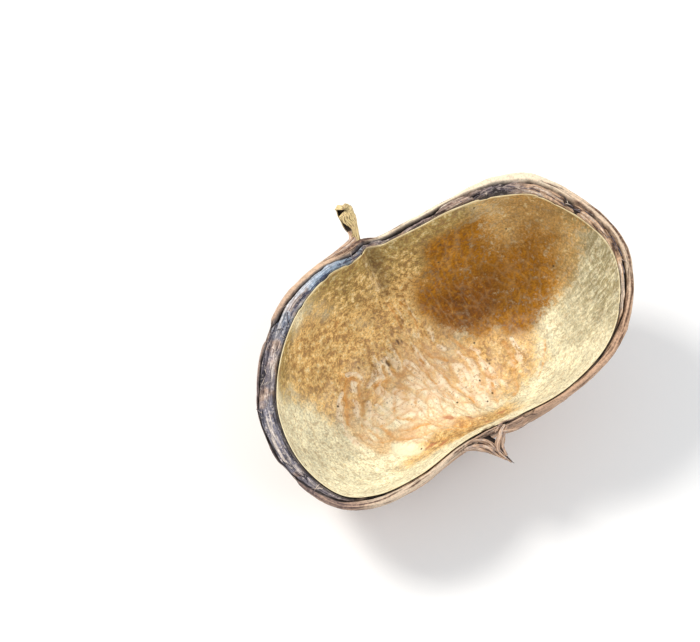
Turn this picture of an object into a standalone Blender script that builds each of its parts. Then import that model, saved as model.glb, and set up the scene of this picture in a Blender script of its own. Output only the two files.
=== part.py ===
"""An empty sterculia pod, split along its seam and dried wide open.

The pod lies on its back with its mouth up. Its long way, from lobe to lobe, runs along X. The stalk is at +Y
and the beak at -Y. The woody husk carries the layered rim and the beak, a thin papery lining backs onto the
husk's inside, and the broken stalk stands out of the notch at the stalk end. Sizes are in millimetres.
"""

import math

import bmesh
import bpy
import numpy as np
from mathutils import Vector

MM = 0.001

# The outer edge of the open seam, going round from the stalk by way of the +X lobe, the beak and the -X lobe:
# x, y, height above the table, and the width of the rim's cut face there.
SEAM = (
    (-4.0, 38.0, 43.4, 3.2),
    (2.5, 36.0, 44.8, 3.1),
    (12.0, 34.6, 49.6, 3.5),
    (26.0, 33.6, 54.5, 4.2),
    (40.0, 33.0, 56.5, 7.2),
    (53.0, 26.5, 57.0, 7.4),
    (63.5, 9.0, 55.0, 6.1),
    (65.3, -7.0, 52.5, 4.7),
    (58.0, -22.0, 49.0, 3.6),
    (46.0, -32.4, 45.8, 2.8),
    (28.2, -37.2, 42.5, 1.6),
    (12.0, -36.9, 38.0, 1.6),
    (0.0, -35.6, 34.3, 1.7),
    (-8.0, -36.6, 34.5, 1.6),
    (-22.0, -40.5, 35.5, 2.0),
    (-37.0, -41.0, 34.5, 2.9),
    (-49.0, -35.0, 34.0, 3.6),
    (-57.0, -20.0, 36.0, 4.8),
    (-57.3, -2.0, 39.0, 5.8),
    (-49.6, 14.0, 42.5, 6.2),
    (-37.0, 26.6, 46.5, 6.4),
    (-22.0, 32.8, 48.6, 5.4),
    (-11.0, 35.2, 46.2, 4.8),
)

# The back of the pod, from the seam down to its lowest point.
BACK_CENTRE = (1.5, -3.0)
BACK_FULLNESS = 0.80
RIM_SLOPE_DEG = 9.0
RIM_SLOPE_SWING_DEG = 7.0
RIM_SLOPE_TOWARDS_DEG = 237.0
NOTCH_FADE = 0.35
FURROW_DEPTH = 3.2
FURROW_WIDTH = 9.0
FURROW_X = 0.8
FOOT_SINK = 2.1

# The thickness of the wall.
WALL = 3.4
RIM_THICKENING_LENGTH = 8.0
LINING_GAP = 0.3
LINING_THICKNESS = 0.8
LINING_RISE = 0.2

# The rim's cut face: share of its width from the outside, height above the seam's own level, and how much
# of the rim's waviness each line carries.
RIM_LAYERS = (
    (0.08, 0.6, 0.6),
    (0.28, 0.9, 1.0),
    (0.33, -1.4, 0.0),
    (0.42, -1.5, 0.0),
    (0.49, 0.2, -0.8),
    (0.72, 0.3, -1.0),
    (0.93, -0.5, 0.0),
)
RIM_WAVINESS = 0.35
RIM_LIP = 0.03

# The folds of the lining, which run from the stalk towards the beak.
FOLD_PITCH = 9.0
FOLD_HEIGHT = 1.5
FOLD_CENTRE = (-2.0, -12.0)
FOLD_REACH = (34.0, 17.0)

# How finely the surfaces are divided.
SEAM_STEPS = 116
OUTER_STEPS = 12
INNER_STEPS = 9
LINING_STEPS = 24
LINING_BACK_STEPS = 9
CURVE_STEPS = 24

# The two strands of the beak: points x, y, height, and radius.
BEAK_STRANDS = (
    ((-5.0, -35.2, 32.0, 0.8), (-1.8, -36.8, 32.6, 1.1), (1.2, -39.8, 33.4, 1.1), (4.0, -46.2, 35.2, 0.6)),
    ((7.4, -36.0, 35.0, 0.9), (5.2, -37.3, 34.5, 1.3), (3.2, -40.4, 34.0, 1.4), (4.1, -46.4, 35.4, 0.6)),
)
STRAND_SIDES = 10

# The stalk: a strip rolled lengthwise into a gutter, given by its middle line x, y, height, and half width.
STALK = (
    (-5.3, 39.5, 42.4, 1.5),
    (-5.2, 41.4, 43.9, 1.6),
    (-5.4, 43.6, 46.1, 2.4),
    (-5.5, 45.2, 49.2, 2.7),
    (-6.1, 46.0, 52.4, 2.7),
)
STALK_STEPS = 14
STALK_SIDES = 12
STALK_WALL = 1.0
STALK_OPENING_DEG = 120.0
STALK_TURN_DEG = 30.0

HUSK_COLOUR = (0.50, 0.33, 0.20)
LINING_COLOUR = (0.78, 0.56, 0.24)
STALK_COLOUR = (0.62, 0.46, 0.25)


def clear_scene():
    for obj in list(bpy.data.objects):
        bpy.data.objects.remove(obj)


def smooth_curve(points, steps, closed):
    """Evenly spaced points along a smooth curve through the given ones, whatever else they carry."""
    points = np.array(points, float)
    count = len(points)
    spans = count if closed else count - 1
    fine = []
    for i in range(spans):
        if closed:
            before, start, end, after = (points[(i + k) % count] for k in (-1, 0, 1, 2))
        else:
            before, start, end, after = (points[min(max(i + k, 0), count - 1)] for k in (-1, 0, 1, 2))
        for s in np.linspace(0, 1, CURVE_STEPS, endpoint=False):
            fine.append(
                0.5
                * (
                    2 * start
                    + (end - before) * s
                    + (2 * before - 5 * start + 4 * end - after) * s**2
                    + (3 * start - before - 3 * end + after) * s**3
                )
            )
    fine.append(points[0] if closed else points[-1])
    fine = np.array(fine)
    run = np.concatenate([[0], np.cumsum(np.linalg.norm(np.diff(fine[:, :3], axis=0), axis=1))])
    places = np.linspace(0, run[-1], steps, endpoint=not closed)
    return np.array([np.interp(places, run, fine[:, k]) for k in range(fine.shape[1])]).T


def softened(values, reach):
    """Values round a closed ring, averaged over their neighbours."""
    weights = np.hanning(2 * reach + 3)[1:-1]
    total = sum(w * np.roll(values, k, axis=0) for w, k in zip(weights, range(-reach, reach + 1)))
    return total / weights.sum()


class Pod:
    """The shape that husk and lining share: the back of the pod below its seam."""

    def __init__(self):
        seam = smooth_curve(SEAM, SEAM_STEPS, closed=True)
        self.edge = seam[:, :3]
        self.rim_width = seam[:, 3]
        self.soft_edge = softened(self.edge, SEAM_STEPS // 14)
        bearing = np.arctan2(self.edge[:, 1], self.edge[:, 0])
        swing = np.cos(bearing - math.radians(RIM_SLOPE_TOWARDS_DEG))
        self.start_angle = np.radians(RIM_SLOPE_DEG + RIM_SLOPE_SWING_DEG * swing)

    def back(self, share):
        """The ring of points on the outside, at a share of the way from the seam to the lowest point."""
        angle = self.start_angle + (math.pi / 2 - self.start_angle) * share
        across = (np.cos(angle) / np.cos(self.start_angle)) ** BACK_FULLNESS
        down = (np.sin(angle) - np.sin(self.start_angle)) / (1 - np.sin(self.start_angle))
        fade = min(1.0, share / NOTCH_FADE)
        edge = self.edge + (self.soft_edge - self.edge) * fade * fade * (3 - 2 * fade)
        ring = np.empty((len(edge), 3))
        ring[:, 0] = BACK_CENTRE[0] + (edge[:, 0] - BACK_CENTRE[0]) * across
        ring[:, 1] = BACK_CENTRE[1] + (edge[:, 1] - BACK_CENTRE[1]) * across
        ring[:, 2] = edge[:, 2] * (1 - down)
        return ring

    def outward(self, share):
        """The outward directions at that ring, and the directions that lead up out of the mouth."""
        step = 0.01
        above, below = self.back(max(share - step, 0)), self.back(min(share + step, 0.999))
        up = above - below
        middle = self.back(share)
        along = np.roll(middle, -1, axis=0) - np.roll(middle, 1, axis=0)
        out = np.cross(up, along)
        out /= np.linalg.norm(out, axis=1)[:, None]
        if out[:, 2].mean() > 0 and share > 0.5:
            out = -out
        centre = np.array([*BACK_CENTRE, middle[:, 2].mean()])
        if ((middle - centre) * out).sum() < 0:
            out = -out
        return out, up / np.linalg.norm(up, axis=1)[:, None]

    def furrow(self, ring, share):
        """How far the back is drawn in along the line from the stalk to the beak."""
        depth = FURROW_DEPTH * math.sin(math.pi * min(1.0, share / 0.9) * 0.5) ** 2
        return depth * np.exp(-(((ring[:, 0] - FURROW_X) / FURROW_WIDTH) ** 2))

    def outside(self, share):
        ring = self.back(share)
        out, _ = self.outward(share)
        ring = ring - out * self.furrow(ring, share)[:, None]
        ring[:, 2] = np.maximum(ring[:, 2] - FOOT_SINK * share**2, 0)
        return ring

    def wall(self, share):
        """The husk's thickness, which grows towards the rim."""
        run = np.linalg.norm(self.back(share) - self.edge, axis=1)
        return WALL + (self.rim_width - WALL) * np.exp(-run / RIM_THICKENING_LENGTH)

    def inside(self, share, beyond=0.0):
        """The ring on the husk's inside, or further in by a distance."""
        ring = self.back(share)
        out, _ = self.outward(share)
        depth = self.wall(share) + self.furrow(ring, share) + beyond
        ring = ring - out * np.broadcast_to(depth, len(ring))[:, None]
        ring[:, 2] -= FOOT_SINK * share**2
        return ring

    def bottom(self, height):
        return np.array([[*BACK_CENTRE, height]])


def fold_height(ring, share):
    """The lining's folds: long waves side by side that bulge round each lobe and draw together at the beak."""
    x, y = ring[:, 0] - FOLD_CENTRE[0], ring[:, 1] - FOLD_CENTRE[1]
    spread = 0.45 + 0.55 * np.clip((ring[:, 1] + 34.0) / 34.0, 0, 1)
    phase = (x + 0.15 * y) / spread + 1.3 * np.sin(y / 6.0 + x / 14.0)
    wave = (0.5 + 0.5 * np.cos(2 * math.pi * phase / FOLD_PITCH)) ** 1.3
    below_rim = math.sin(math.pi / 2 * min(1.0, share / 0.5)) ** 2
    reach = np.exp(-((x / FOLD_REACH[0]) ** 2) - (y / FOLD_REACH[1]) ** 2)
    return FOLD_HEIGHT * below_rim * reach * wave


def closed_mesh(name, rings):
    """A closed mesh over rings of equal length, where a ring of one point is a pole."""
    bm = bmesh.new()
    rows = [[bm.verts.new(Vector(p) * MM) for p in ring] for ring in rings]
    for row, following in zip(rows, rows[1:]):
        count = max(len(row), len(following))
        for i in range(count):
            corners = []
            for ring, index in ((row, i), (row, i + 1), (following, i + 1), (following, i)):
                corner = ring[index % len(ring)]
                if corner not in corners:
                    corners.append(corner)
            bm.faces.new(corners)
    bmesh.ops.triangulate(bm, faces=bm.faces)
    bmesh.ops.recalc_face_normals(bm, faces=bm.faces)
    mesh = bpy.data.meshes.new(name)
    bm.to_mesh(mesh)
    bm.free()
    mesh.shade_smooth()
    return mesh


def shares(steps):
    """Shares from the seam downwards, closer together at the seam and short of the lowest point."""
    return [(k / steps) ** 1.15 for k in range(steps)]


def husk_rings(pod):
    rings = [pod.bottom(FURROW_DEPTH - FOOT_SINK)]
    rings += [pod.outside(share) for share in reversed(shares(OUTER_STEPS))]
    out, up = pod.outward(0)
    turn = np.linspace(0, 2 * math.pi, SEAM_STEPS, endpoint=False)
    wave = RIM_WAVINESS * (np.sin(7 * turn + 1) + 0.6 * np.sin(17 * turn + 3) + 0.4 * np.sin(31 * turn))
    for across, rise, share in RIM_LAYERS:
        rings.append(pod.edge - out * (pod.rim_width * across)[:, None] + up * (rise + wave * share)[:, None])
    rings.append(pod.inside(RIM_LIP))
    rings += [pod.inside(share) for share in shares(INNER_STEPS)[1:]]
    rings.append(pod.bottom(FURROW_DEPTH - FOOT_SINK + WALL))
    return rings


def lining_rings(pod):
    floor = FURROW_DEPTH - FOOT_SINK + WALL + LINING_GAP
    rings = [pod.bottom(floor)]
    rings += [pod.inside(share, LINING_GAP) for share in reversed(shares(LINING_BACK_STEPS))]
    _, up = pod.outward(0)
    for across in (LINING_GAP, LINING_GAP + LINING_THICKNESS):
        rings.append(pod.inside(0, across) + up * LINING_RISE)
    for share in shares(LINING_STEPS):
        bare = pod.inside(share, LINING_GAP + LINING_THICKNESS)
        rings.append(pod.inside(share, LINING_GAP + LINING_THICKNESS + fold_height(bare, share)))
    fold = float(fold_height(pod.bottom(0), 1)[0])
    rings.append(pod.bottom(floor + LINING_THICKNESS + fold))
    return rings


def strand_mesh(name, points, sides):
    """A tapering round strand along a smooth line."""
    line = smooth_curve(points, 8, closed=False)
    ways = np.gradient(line[:, :3], axis=0)
    rings = [line[:1, :3]]
    for (x, y, z, radius), way in zip(line, ways):
        forward = Vector(way).normalized()
        side = forward.cross(Vector((0, 0, 1))).normalized()
        top = side.cross(forward)
        turns = [2 * math.pi * k / sides for k in range(sides)]
        rings.append(
            np.array([Vector((x, y, z)) + (side * math.cos(a) + top * math.sin(a)) * radius for a in turns])
        )
    rings.append(line[-1:, :3])
    return closed_mesh(name, rings)


def stalk_mesh(name):
    """A strip rolled into a gutter that widens towards its broken end."""
    line = smooth_curve(STALK, STALK_STEPS, closed=False)
    ways = np.gradient(line[:, :3], axis=0)
    half = math.radians(360 - STALK_OPENING_DEG) / 2
    turn = math.radians(STALK_TURN_DEG)
    rings = []
    for index, ((x, y, z, radius), way) in enumerate(zip(line, ways)):
        forward = Vector(way).normalized()
        side = forward.cross(Vector((0, 0, 1))).normalized()
        top = side.cross(forward)
        hollow = max(0.15, radius - STALK_WALL) * min(1.0, index / 4)
        angles = np.linspace(turn - half, turn + half, STALK_SIDES)
        outer = [(a, radius) for a in angles]
        inner = [(a, max(hollow, 0.12)) for a in reversed(angles)]
        rings.append(
            np.array([Vector((x, y, z)) + (side * math.cos(a) + top * math.sin(a)) * r for a, r in outer + inner])
        )
    first, last = rings[0].mean(axis=0)[None], rings[-1].mean(axis=0)[None]
    return closed_mesh(name, [first, *rings, last])


def material(name, colour, roughness):
    made = bpy.data.materials.new(name)
    made.use_nodes = True
    shader = made.node_tree.nodes["Principled BSDF"]
    shader.inputs["Base Color"].default_value = (*colour, 1)
    shader.inputs["Roughness"].default_value = roughness
    shader.inputs["Metallic"].default_value = 0
    return made


def add_object(name, mesh, finish):
    obj = bpy.data.objects.new(name, mesh)
    bpy.context.scene.collection.objects.link(obj)
    obj.data.materials.append(finish)
    return obj


def join_to(obj, others):
    """Fuses the other objects into this one with a single union, and removes them."""
    helpers = bpy.data.collections.new("growing_from_" + obj.name)
    for other in others:
        bpy.context.scene.collection.objects.unlink(other)
        helpers.objects.link(other)
    union = obj.modifiers.new("union", "BOOLEAN")
    union.operation = "UNION"
    union.operand_type = "COLLECTION"
    union.collection = helpers
    graph = bpy.context.evaluated_depsgraph_get()
    fused = bpy.data.meshes.new_from_object(obj.evaluated_get(graph))
    obj.modifiers.clear()
    obj.data = fused
    for other in others:
        bpy.data.objects.remove(other)
    bpy.data.collections.remove(helpers)


def centre_on_origin(objects):
    """Moves the pod so that the origin is below the middle of its box, on the table."""
    corners = np.array([v.co for obj in objects for v in obj.data.vertices])
    low, high = corners.min(axis=0), corners.max(axis=0)
    middle = Vector(((low[0] + high[0]) / 2, (low[1] + high[1]) / 2, low[2]))
    for obj in objects:
        for vertex in obj.data.vertices:
            vertex.co -= middle


def main():
    clear_scene()
    pod = Pod()
    woody = material("husk", HUSK_COLOUR, 0.85)
    papery = material("lining", LINING_COLOUR, 0.5)
    dry = material("stalk", STALK_COLOUR, 0.8)
    husk = add_object("husk", closed_mesh("husk", husk_rings(pod)), woody)
    strands = [
        add_object(f"strand_{k}", strand_mesh(f"strand_{k}", points, STRAND_SIDES), woody)
        for k, points in enumerate(BEAK_STRANDS)
    ]
    join_to(husk, strands)
    lining = add_object("lining", closed_mesh("lining", lining_rings(pod)), papery)
    stalk = add_object("stalk", stalk_mesh("stalk"), dry)
    centre_on_origin([husk, lining, stalk])


main()
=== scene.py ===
"""The looks of an empty sterculia pod, split along its seam and dried wide open.

Run it as a script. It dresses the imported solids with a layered, fibrous rim, a wrinkled papery lining, a
curled stalk and a frayed beak, and sets up a plain stage. Lengths in the tables below are millimetres.
"""

import itertools
import math

import bpy
import numpy as np
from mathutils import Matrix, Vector


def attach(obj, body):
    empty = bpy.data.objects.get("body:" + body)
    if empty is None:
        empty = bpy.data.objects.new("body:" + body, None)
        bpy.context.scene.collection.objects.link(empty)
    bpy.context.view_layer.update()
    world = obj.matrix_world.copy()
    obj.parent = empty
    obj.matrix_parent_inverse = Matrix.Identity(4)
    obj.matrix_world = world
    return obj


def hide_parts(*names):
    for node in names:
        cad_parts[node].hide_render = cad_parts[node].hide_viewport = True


bl_info = {
    "name": "Sterculia pod",
    "version": (1, 0, 0),
    "blender": (4, 5, 0),
    "location": "View3D > Sidebar > Pod",
    "description": "Dresses an empty, split seed pod with its rim, lining, stalk and beak",
    "category": "Object",
}

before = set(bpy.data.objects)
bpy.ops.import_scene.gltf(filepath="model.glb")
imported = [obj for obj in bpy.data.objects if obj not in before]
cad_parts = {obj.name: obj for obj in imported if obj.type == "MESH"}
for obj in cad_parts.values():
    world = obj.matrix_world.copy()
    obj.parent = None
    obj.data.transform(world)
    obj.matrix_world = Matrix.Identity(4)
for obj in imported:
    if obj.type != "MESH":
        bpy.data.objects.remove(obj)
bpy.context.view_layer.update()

MM = 0.001

# The middle of the pod's box on the table, in the tables' own places. It becomes the model's origin.
POD_CENTRE = (3.787, 1.029, 0.0)

# The picture's size in pixels, and the pixel where the point over the tables' origin at a height falls.
PHOTO_SIZE = (700, 642)
POD_MIDDLE_PIXEL = (428, 343)
POD_MIDDLE_HEIGHT = 30.0
SENSOR_WIDTH = 36.0

# The outer edge of the open seam, from the stalk by way of the +X lobe, the beak and the -X lobe: x, y,
# height, width of the rim's cut face, the share of that width which is skin, the widths of the crack beside
# the skin and of the gap beside the lining, and how grey and how blue the fibre is.
SEAM = (
    (-4.0, 38.0, 43.4, 3.2, 0.42, 0.5, 0.3, 0.9, 0.6),
    (2.5, 36.0, 44.8, 3.1, 0.46, 0.9, 0.2, 0.9, 0.0),
    (12.0, 34.6, 49.6, 3.5, 0.42, 1.0, 0.2, 0.8, 0.0),
    (26.0, 33.6, 54.5, 4.2, 0.34, 0.3, 0.3, 0.5, 0.0),
    (40.0, 33.0, 56.5, 7.2, 0.38, 0.3, 1.1, 0.7, 0.3),
    (53.0, 26.5, 57.0, 7.4, 0.40, 0.5, 0.3, 0.2, 0.1),
    (63.5, 9.0, 55.0, 6.1, 0.44, 0.6, 0.15, 0.1, 0.0),
    (65.3, -7.0, 52.5, 4.7, 0.50, 0.4, 0.15, 0.0, 0.0),
    (58.0, -22.0, 49.0, 3.6, 0.66, 0.3, 0.25, 0.0, 0.0),
    (46.0, -32.4, 45.8, 2.8, 0.84, 0.2, 0.3, 0.0, 0.0),
    (28.2, -37.2, 42.5, 1.6, 0.92, 0.1, 0.14, 0.0, 0.0),
    (12.0, -36.9, 38.0, 1.6, 0.66, 0.2, 0.14, 0.3, 0.0),
    (0.0, -35.6, 34.3, 1.7, 0.74, 0.25, 0.14, 0.4, 0.0),
    (-8.0, -36.6, 34.5, 1.6, 0.92, 0.1, 0.12, 0.0, 0.0),
    (-22.0, -40.5, 35.5, 2.0, 0.92, 0.1, 0.14, 0.0, 0.0),
    (-37.0, -41.0, 34.5, 2.9, 0.80, 0.25, 0.22, 0.4, 0.0),
    (-49.0, -35.0, 34.0, 3.6, 0.58, 0.3, 0.5, 0.8, 0.2),
    (-57.0, -20.0, 36.0, 4.8, 0.10, 0.3, 0.6, 1.0, 0.15),
    (-57.3, -2.0, 39.0, 5.8, 0.06, 0.3, 0.6, 1.0, 0.2),
    (-49.6, 14.0, 42.5, 6.2, 0.12, 0.3, 0.4, 0.9, 0.2),
    (-37.0, 26.6, 46.5, 6.4, 0.28, 0.35, 0.2, 1.0, 0.7),
    (-22.0, 32.8, 48.6, 5.4, 0.40, 0.35, 0.15, 1.0, 1.0),
    (-11.0, 35.2, 46.2, 4.8, 0.46, 0.35, 0.15, 1.0, 0.9),
)

# The back of the pod, from the seam down to its lowest point: its middle, how full it is, how steeply it
# leaves the rim, where the seam's notches have faded, the furrow along it, and how far its foot sinks flat.
BACK_CENTRE = (1.5, -3.0)
BACK_FULLNESS = 0.80
RIM_SLOPE_DEG = 9.0
RIM_SLOPE_SWING_DEG = 7.0
RIM_SLOPE_TOWARDS_DEG = 237.0
NOTCH_FADE = 0.35
FURROW_DEPTH = 3.2
FURROW_WIDTH = 9.0
FURROW_X = 0.8
FOOT_SINK = 2.1

# The wall's thickness, and how far below the rim it has thinned to that.
WALL = 3.4
RIM_THICKENING_LENGTH = 8.0

# How finely the husk and the lining are divided from the rim down.
OUTER_RINGS = 59
RIM_RINGS = 28
INNER_SHARES = (0.03, 0.06, 0.12, 0.22, 0.38, 0.56, 0.74, 0.9)
LINING_RINGS = 150
HIDDEN_SHARES = (0.9, 0.78, 0.66, 0.54, 0.42, 0.3, 0.19, 0.1, 0.04)

# The lining's small folds run between two points beyond the stalk and the beak, and turn along the seam in
# the lower lobe. The wrinkled patch has a middle and a reach along X and Y.
FOLD_ENDS = ((-12.0, 45.0), (12.0, -48.0))
FOLD_PATCH = (-1.0, -4.0, 34.0, 19.0)
BROAD_FOLD_PITCH = 9.0

# The folds and creases that stand out, each a half width, a strength and a path of x, y.
PALE_FOLDS = (
    (0.9, 1.0, (-26.2, 6.7), (-28.5, 3.8), (-30.3, 0.3), (-31.2, -3.0), (-31.2, -6.9), (-29.0, -10.9)),
    (0.8, 1.0, (-21.5, 11.3), (-18.5, 11.5), (-17.5, 9.5)),
    (1.2, 1.0, (-20.7, 9.0), (-21.5, 6.9)),
    (1.0, 1.0, (-23.0, 3.5), (-23.4, 1.4), (-24.4, -1.1)),
    (1.3, 1.0, (-19.3, 1.4), (-20.2, -0.9), (-18.4, -4.0), (-17.9, -6.5)),
    (0.8, 1.0, (-23.2, -3.7), (-22.1, -6.1), (-20.7, -9.2)),
    (0.8, 1.0, (-25.6, -8.6), (-24.3, -11.4)),
    (0.6, 1.0, (-16.8, 0.4), (-14.8, -3.6), (-13.1, -9.2)),
    (1.0, 1.0, (-16.1, 7.1), (-13.4, 8.3), (-10.2, 7.7)),
    (0.9, 1.0, (-11.6, 11.9), (-8.5, 12.4), (-7.0, 13.1)),
    (1.7, 1.0, (-13.7, 4.0), (-12.2, 1.5), (-12.3, -1.3)),
    (2.4, 1.0, (-8.0, 1.0), (-9.0, -4.0), (-6.1, -7.5)),
    (1.8, 1.0, (-1.6, 8.1), (0.1, 6.5), (1.2, 2.4)),
    (2.2, 1.0, (0.5, -4.5), (1.5, -8.0)),
    (0.8, 1.0, (2.7, 12.1), (4.2, 8.4), (5.7, 3.4)),
    (0.8, 1.0, (11.3, 10.1), (13.0, 8.5)),
    (0.8, 1.0, (16.9, 5.8), (17.6, 3.7)),
    (1.3, 1.0, (13.5, 2.1), (15.3, 0.3)),
    (1.1, 1.0, (21.8, -1.2), (23.2, -4.5), (23.2, -8.4), (21.5, -12.0)),
    (2.2, 1.0, (16.4, -3.3), (16.6, -7.7), (15.4, -14.4)),
    (1.2, 1.0, (11.7, -4.7), (12.9, -8.7), (13.7, -12.8)),
    (0.6, 1.0, (21.2, 5.6), (22.6, 2.3)),
    (0.9, 1.0, (33.4, 0.3), (33.5, -4.3), (32.4, -8.0)),
    (1.2, 1.0, (6.2, -1.9), (7.8, -5.7), (8.8, -9.0)),
    (1.6, 0.3, (-6.2, 32.1), (-4.1, 31.7), (-3.4, 30.2), (-2.6, 28.6)),
    (0.5, 0.35, (4.8, 24.2), (5.7, 22.4), (7.0, 20.0), (7.7, 17.3)),
    (0.5, 0.35, (1.4, 24.0), (2.6, 21.6), (3.2, 19.0)),
)
CREASES = (
    (0.7, 1.0, (-28.9, -3.4), (-27.3, 1.2), (-24.6, 6.7), (-22.7, 9.7), (-20.7, 10.3), (-18.6, 9.4)),
    (0.5, 1.0, (-22.8, -1.2), (-21.1, 2.5), (-19.9, 5.8), (-18.8, 8.5)),
    (0.6, 1.0, (-16.8, 1.2), (-15.0, 4.5), (-14.4, 6.1), (-11.9, 6.6), (-9.1, 6.2)),
    (0.6, 1.0, (-8.8, 1.9), (-10.7, -1.2), (-12.6, -5.1), (-12.2, -6.8), (-5.9, -11.3)),
    (0.5, 1.0, (1.1, -2.5), (-2.1, -1.6), (-4.1, -3.4), (-5.0, -5.7), (-4.4, -8.3)),
    (0.6, 1.0, (-24.4, -4.5), (-22.7, -8.3), (-20.5, -12.5)),
    (0.7, 1.0, (-20.5, -3.9), (-19.3, -7.0), (-16.8, -11.9), (-10.6, -16.9)),
    (0.6, 1.0, (3.4, 10.0), (3.6, 5.4), (3.9, 0.6), (4.7, -7.1)),
    (0.6, 1.0, (5.7, 11.0), (8.0, 7.7), (12.6, 5.1)),
    (0.6, 1.0, (7.7, 2.7), (9.1, -4.0), (12.3, -10.8), (12.3, -16.3)),
    (0.6, 1.0, (16.3, 11.4), (19.1, 6.5), (20.7, 1.2)),
    (0.8, 1.0, (31.0, 0.8), (31.3, -3.9), (30.3, -7.7), (28.1, -11.4), (26.5, -15.5), (24.1, -18.3)),
    (0.6, 1.0, (22.1, -4.6), (21.7, -8.8), (19.5, -14.0), (18.3, -17.4)),
    (0.4, 1.0, (41.0, -6.9), (37.7, -13.2), (32.7, -17.5)),
    (0.5, 1.0, (-13.5, -10.8), (-6.1, -13.9), (-0.1, -19.1), (3.9, -24.2)),
    (0.5, 1.0, (-15.7, -13.6), (-7.6, -16.8), (-0.9, -21.7), (3.1, -28.7)),
    (0.4, 1.0, (-8.4, -21.1), (-2.9, -24.7), (0.2, -28.8)),
    (0.4, 1.0, (3.9, 23.9), (5.0, 21.7), (6.7, 18.8), (6.8, 16.4)),
    (0.4, 1.0, (-0.1, 23.9), (1.2, 20.6), (1.5, 18.3)),
)
STAINS = (
    (0.8, 0.7, (1.5, -26.2), (4.0, -27.3), (6.5, -28.6), (8.5, -29.6)),
    (0.35, 1.0, (23.8, -0.6), (24.2, -1.7)),
    (0.35, 1.0, (24.5, -1.9), (24.4, -3.2)),
    (0.35, 1.0, (-1.4, 16.0), (-0.9, 15.0)),
    (0.3, 1.0, (0.1, 15.4), (0.3, 15.0)),
    (0.3, 1.0, (-17.1, 13.2), (-16.7, 12.6)),
    (0.8, 1.0, (-7.1, 11.9), (-6.8, 10.5)),
    (2.0, 0.5, (-3.1, 33.4), (-0.5, 31.1), (-0.3, 29.4), (-0.2, 27.7)),
)
GOLDEN_BANDS = (
    (2.4, 0.7, (-22.9, 10.2), (-25.8, 4.3), (-27.8, -1.5), (-27.2, -7.2), (-24.6, -12.2), (-22.7, -15.5)),
    (2.8, 0.8, (-22.7, -14.5), (-17.0, -11.7), (-11.9, -14.3), (-5.6, -14.4), (0.3, -16.8), (4.2, -21.8)),
)
PALE_SPOT = ((2.4, 1.0, (-17.7, -17.5), (-12.6, -21.3)),)

# Where each colour of the lining lies: oval patches as x, y and the reach along each.
LINING_ZONES = {
    "wall": ((68.0, -8.0, 22.0, 32.0),),
    "olive": ((-47.0, 17.0, 11.0, 14.0), (-18.0, 31.0, 24.0, 10.0), (10.0, 29.0, 24.0, 16.0)),
    "gold": (
        (-24.0, 14.0, 25.0, 17.0),
        (0.0, 14.0, 26.0, 18.0),
        (24.0, -2.0, 20.0, 16.0),
        (2.0, -24.0, 24.0, 6.0),
    ),
    "tan": ((52.0, 22.0, 24.0, 20.0), (52.0, 8.0, 8.0, 9.5)),
    # The brown and deep patches lie where the high rim's shadow falls: they are partly the lining's own brown
    # and partly painted shadow.
    "brown": ((24.0, 21.0, 14.5, 11.5), (31.0, 15.0, 13.5, 10.5), (41.0, 10.5, 13.2, 11.5)),
    "deep": ((25.0, 16.5, 13.0, 7.0),),
}

# How far inside its patches a zone's colour begins and is full, and how uneven its border is.
ZONE_BORDER = (-0.25, 0.55, 1.4)
# The brown border is sharper: it is a painted shadow edge along the high rim's cast shadow.
ZONE_BORDERS = {"brown": (-0.20, 0.34, 1.2)}

# Reddish flecks by the beak: x, y, length and bearing.
FLECKS = (
    (1.5, -16.6, 4.4, -50.0),
    (7.1, -19.4, 3.0, -30.0),
    (-8.6, -23.2, 4.6, -6.0),
    (-6.0, -25.2, 3.2, -6.0),
    (16.1, -23.0, 3.2, -10.0),
    (9.2, -25.5, 2.6, 60.0),
)

# Where the husk has lost its outer flakes, and where its fibre has crumbled away: x, y and reach.
TORN_PLACES = ((-57.0, -21.0, 4.8), (-44.5, 20.5, 4.6), (15.0, -37.0, 2.2))
HOLLOW_PLACES = ((36.0, 33.5, 11.0), (61.0, 15.0, 5.0), (4.0, 35.5, 5.0), (7.5, -36.5, 4.5))

# The strands of the beak, a raised vein from the stalk along the rim, and the stalk's middle line: x, y,
# height, and radius or half width.
BEAK_STRANDS = (
    ((-6.4, -36.0, 33.4, 0.9), (-2.4, -36.8, 33.2, 1.3), (1.0, -39.8, 33.6, 1.3), (4.6, -46.9, 35.4, 0.6)),
    ((7.8, -35.6, 36.6, 1.0), (5.8, -37.2, 35.8, 1.4), (3.4, -40.6, 34.4, 1.4), (4.4, -46.8, 35.6, 0.6)),
    ((-2.6, -35.0, 34.6, 0.6), (0.0, -36.4, 34.8, 0.7), (2.0, -39.0, 34.6, 0.7), (3.8, -44.5, 35.4, 0.3)),
    ((-6.0, -35.4, 34.4, 0.3), (-1.0, -34.8, 35.0, 0.6), (5.0, -34.9, 36.4, 0.7), (10.0, -36.2, 38.0, 0.3)),
    ((4.6, -36.0, 36.0, 0.6), (7.0, -34.6, 37.2, 0.5), (9.0, -35.0, 38.0, 0.4), (12.0, -35.8, 38.6, 0.2)),
    ((5.6, -36.6, 36.2, 0.8), (9.0, -38.2, 37.2, 0.6), (12.6, -38.6, 38.6, 0.5), (16.0, -37.9, 40.0, 0.2)),
)
BEAK_RINGS = 60
BEAK_FIBRES = 5
BEAK_HOLLOW_RINGS = 20
# The beak's hollow is a flat dark sheet: painted shade in the opening between the strands.
BEAK_HOLLOW = ((0.6, -35.0, 33.6, 2.6), (1.6, -37.4, 33.4, 2.2), (2.6, -41.0, 33.6, 0.4))
VEIN = (
    (-5.2, 41.8, 44.3, 1.0),
    (-5.5, 39.4, 43.6, 1.2),
    (-7.6, 37.4, 45.0, 1.0),
    (-12.0, 35.5, 46.9, 0.8),
    (-19.0, 33.2, 48.6, 0.3),
)
VEIN_RINGS = 120
VEIN_SIDES = 24
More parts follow.
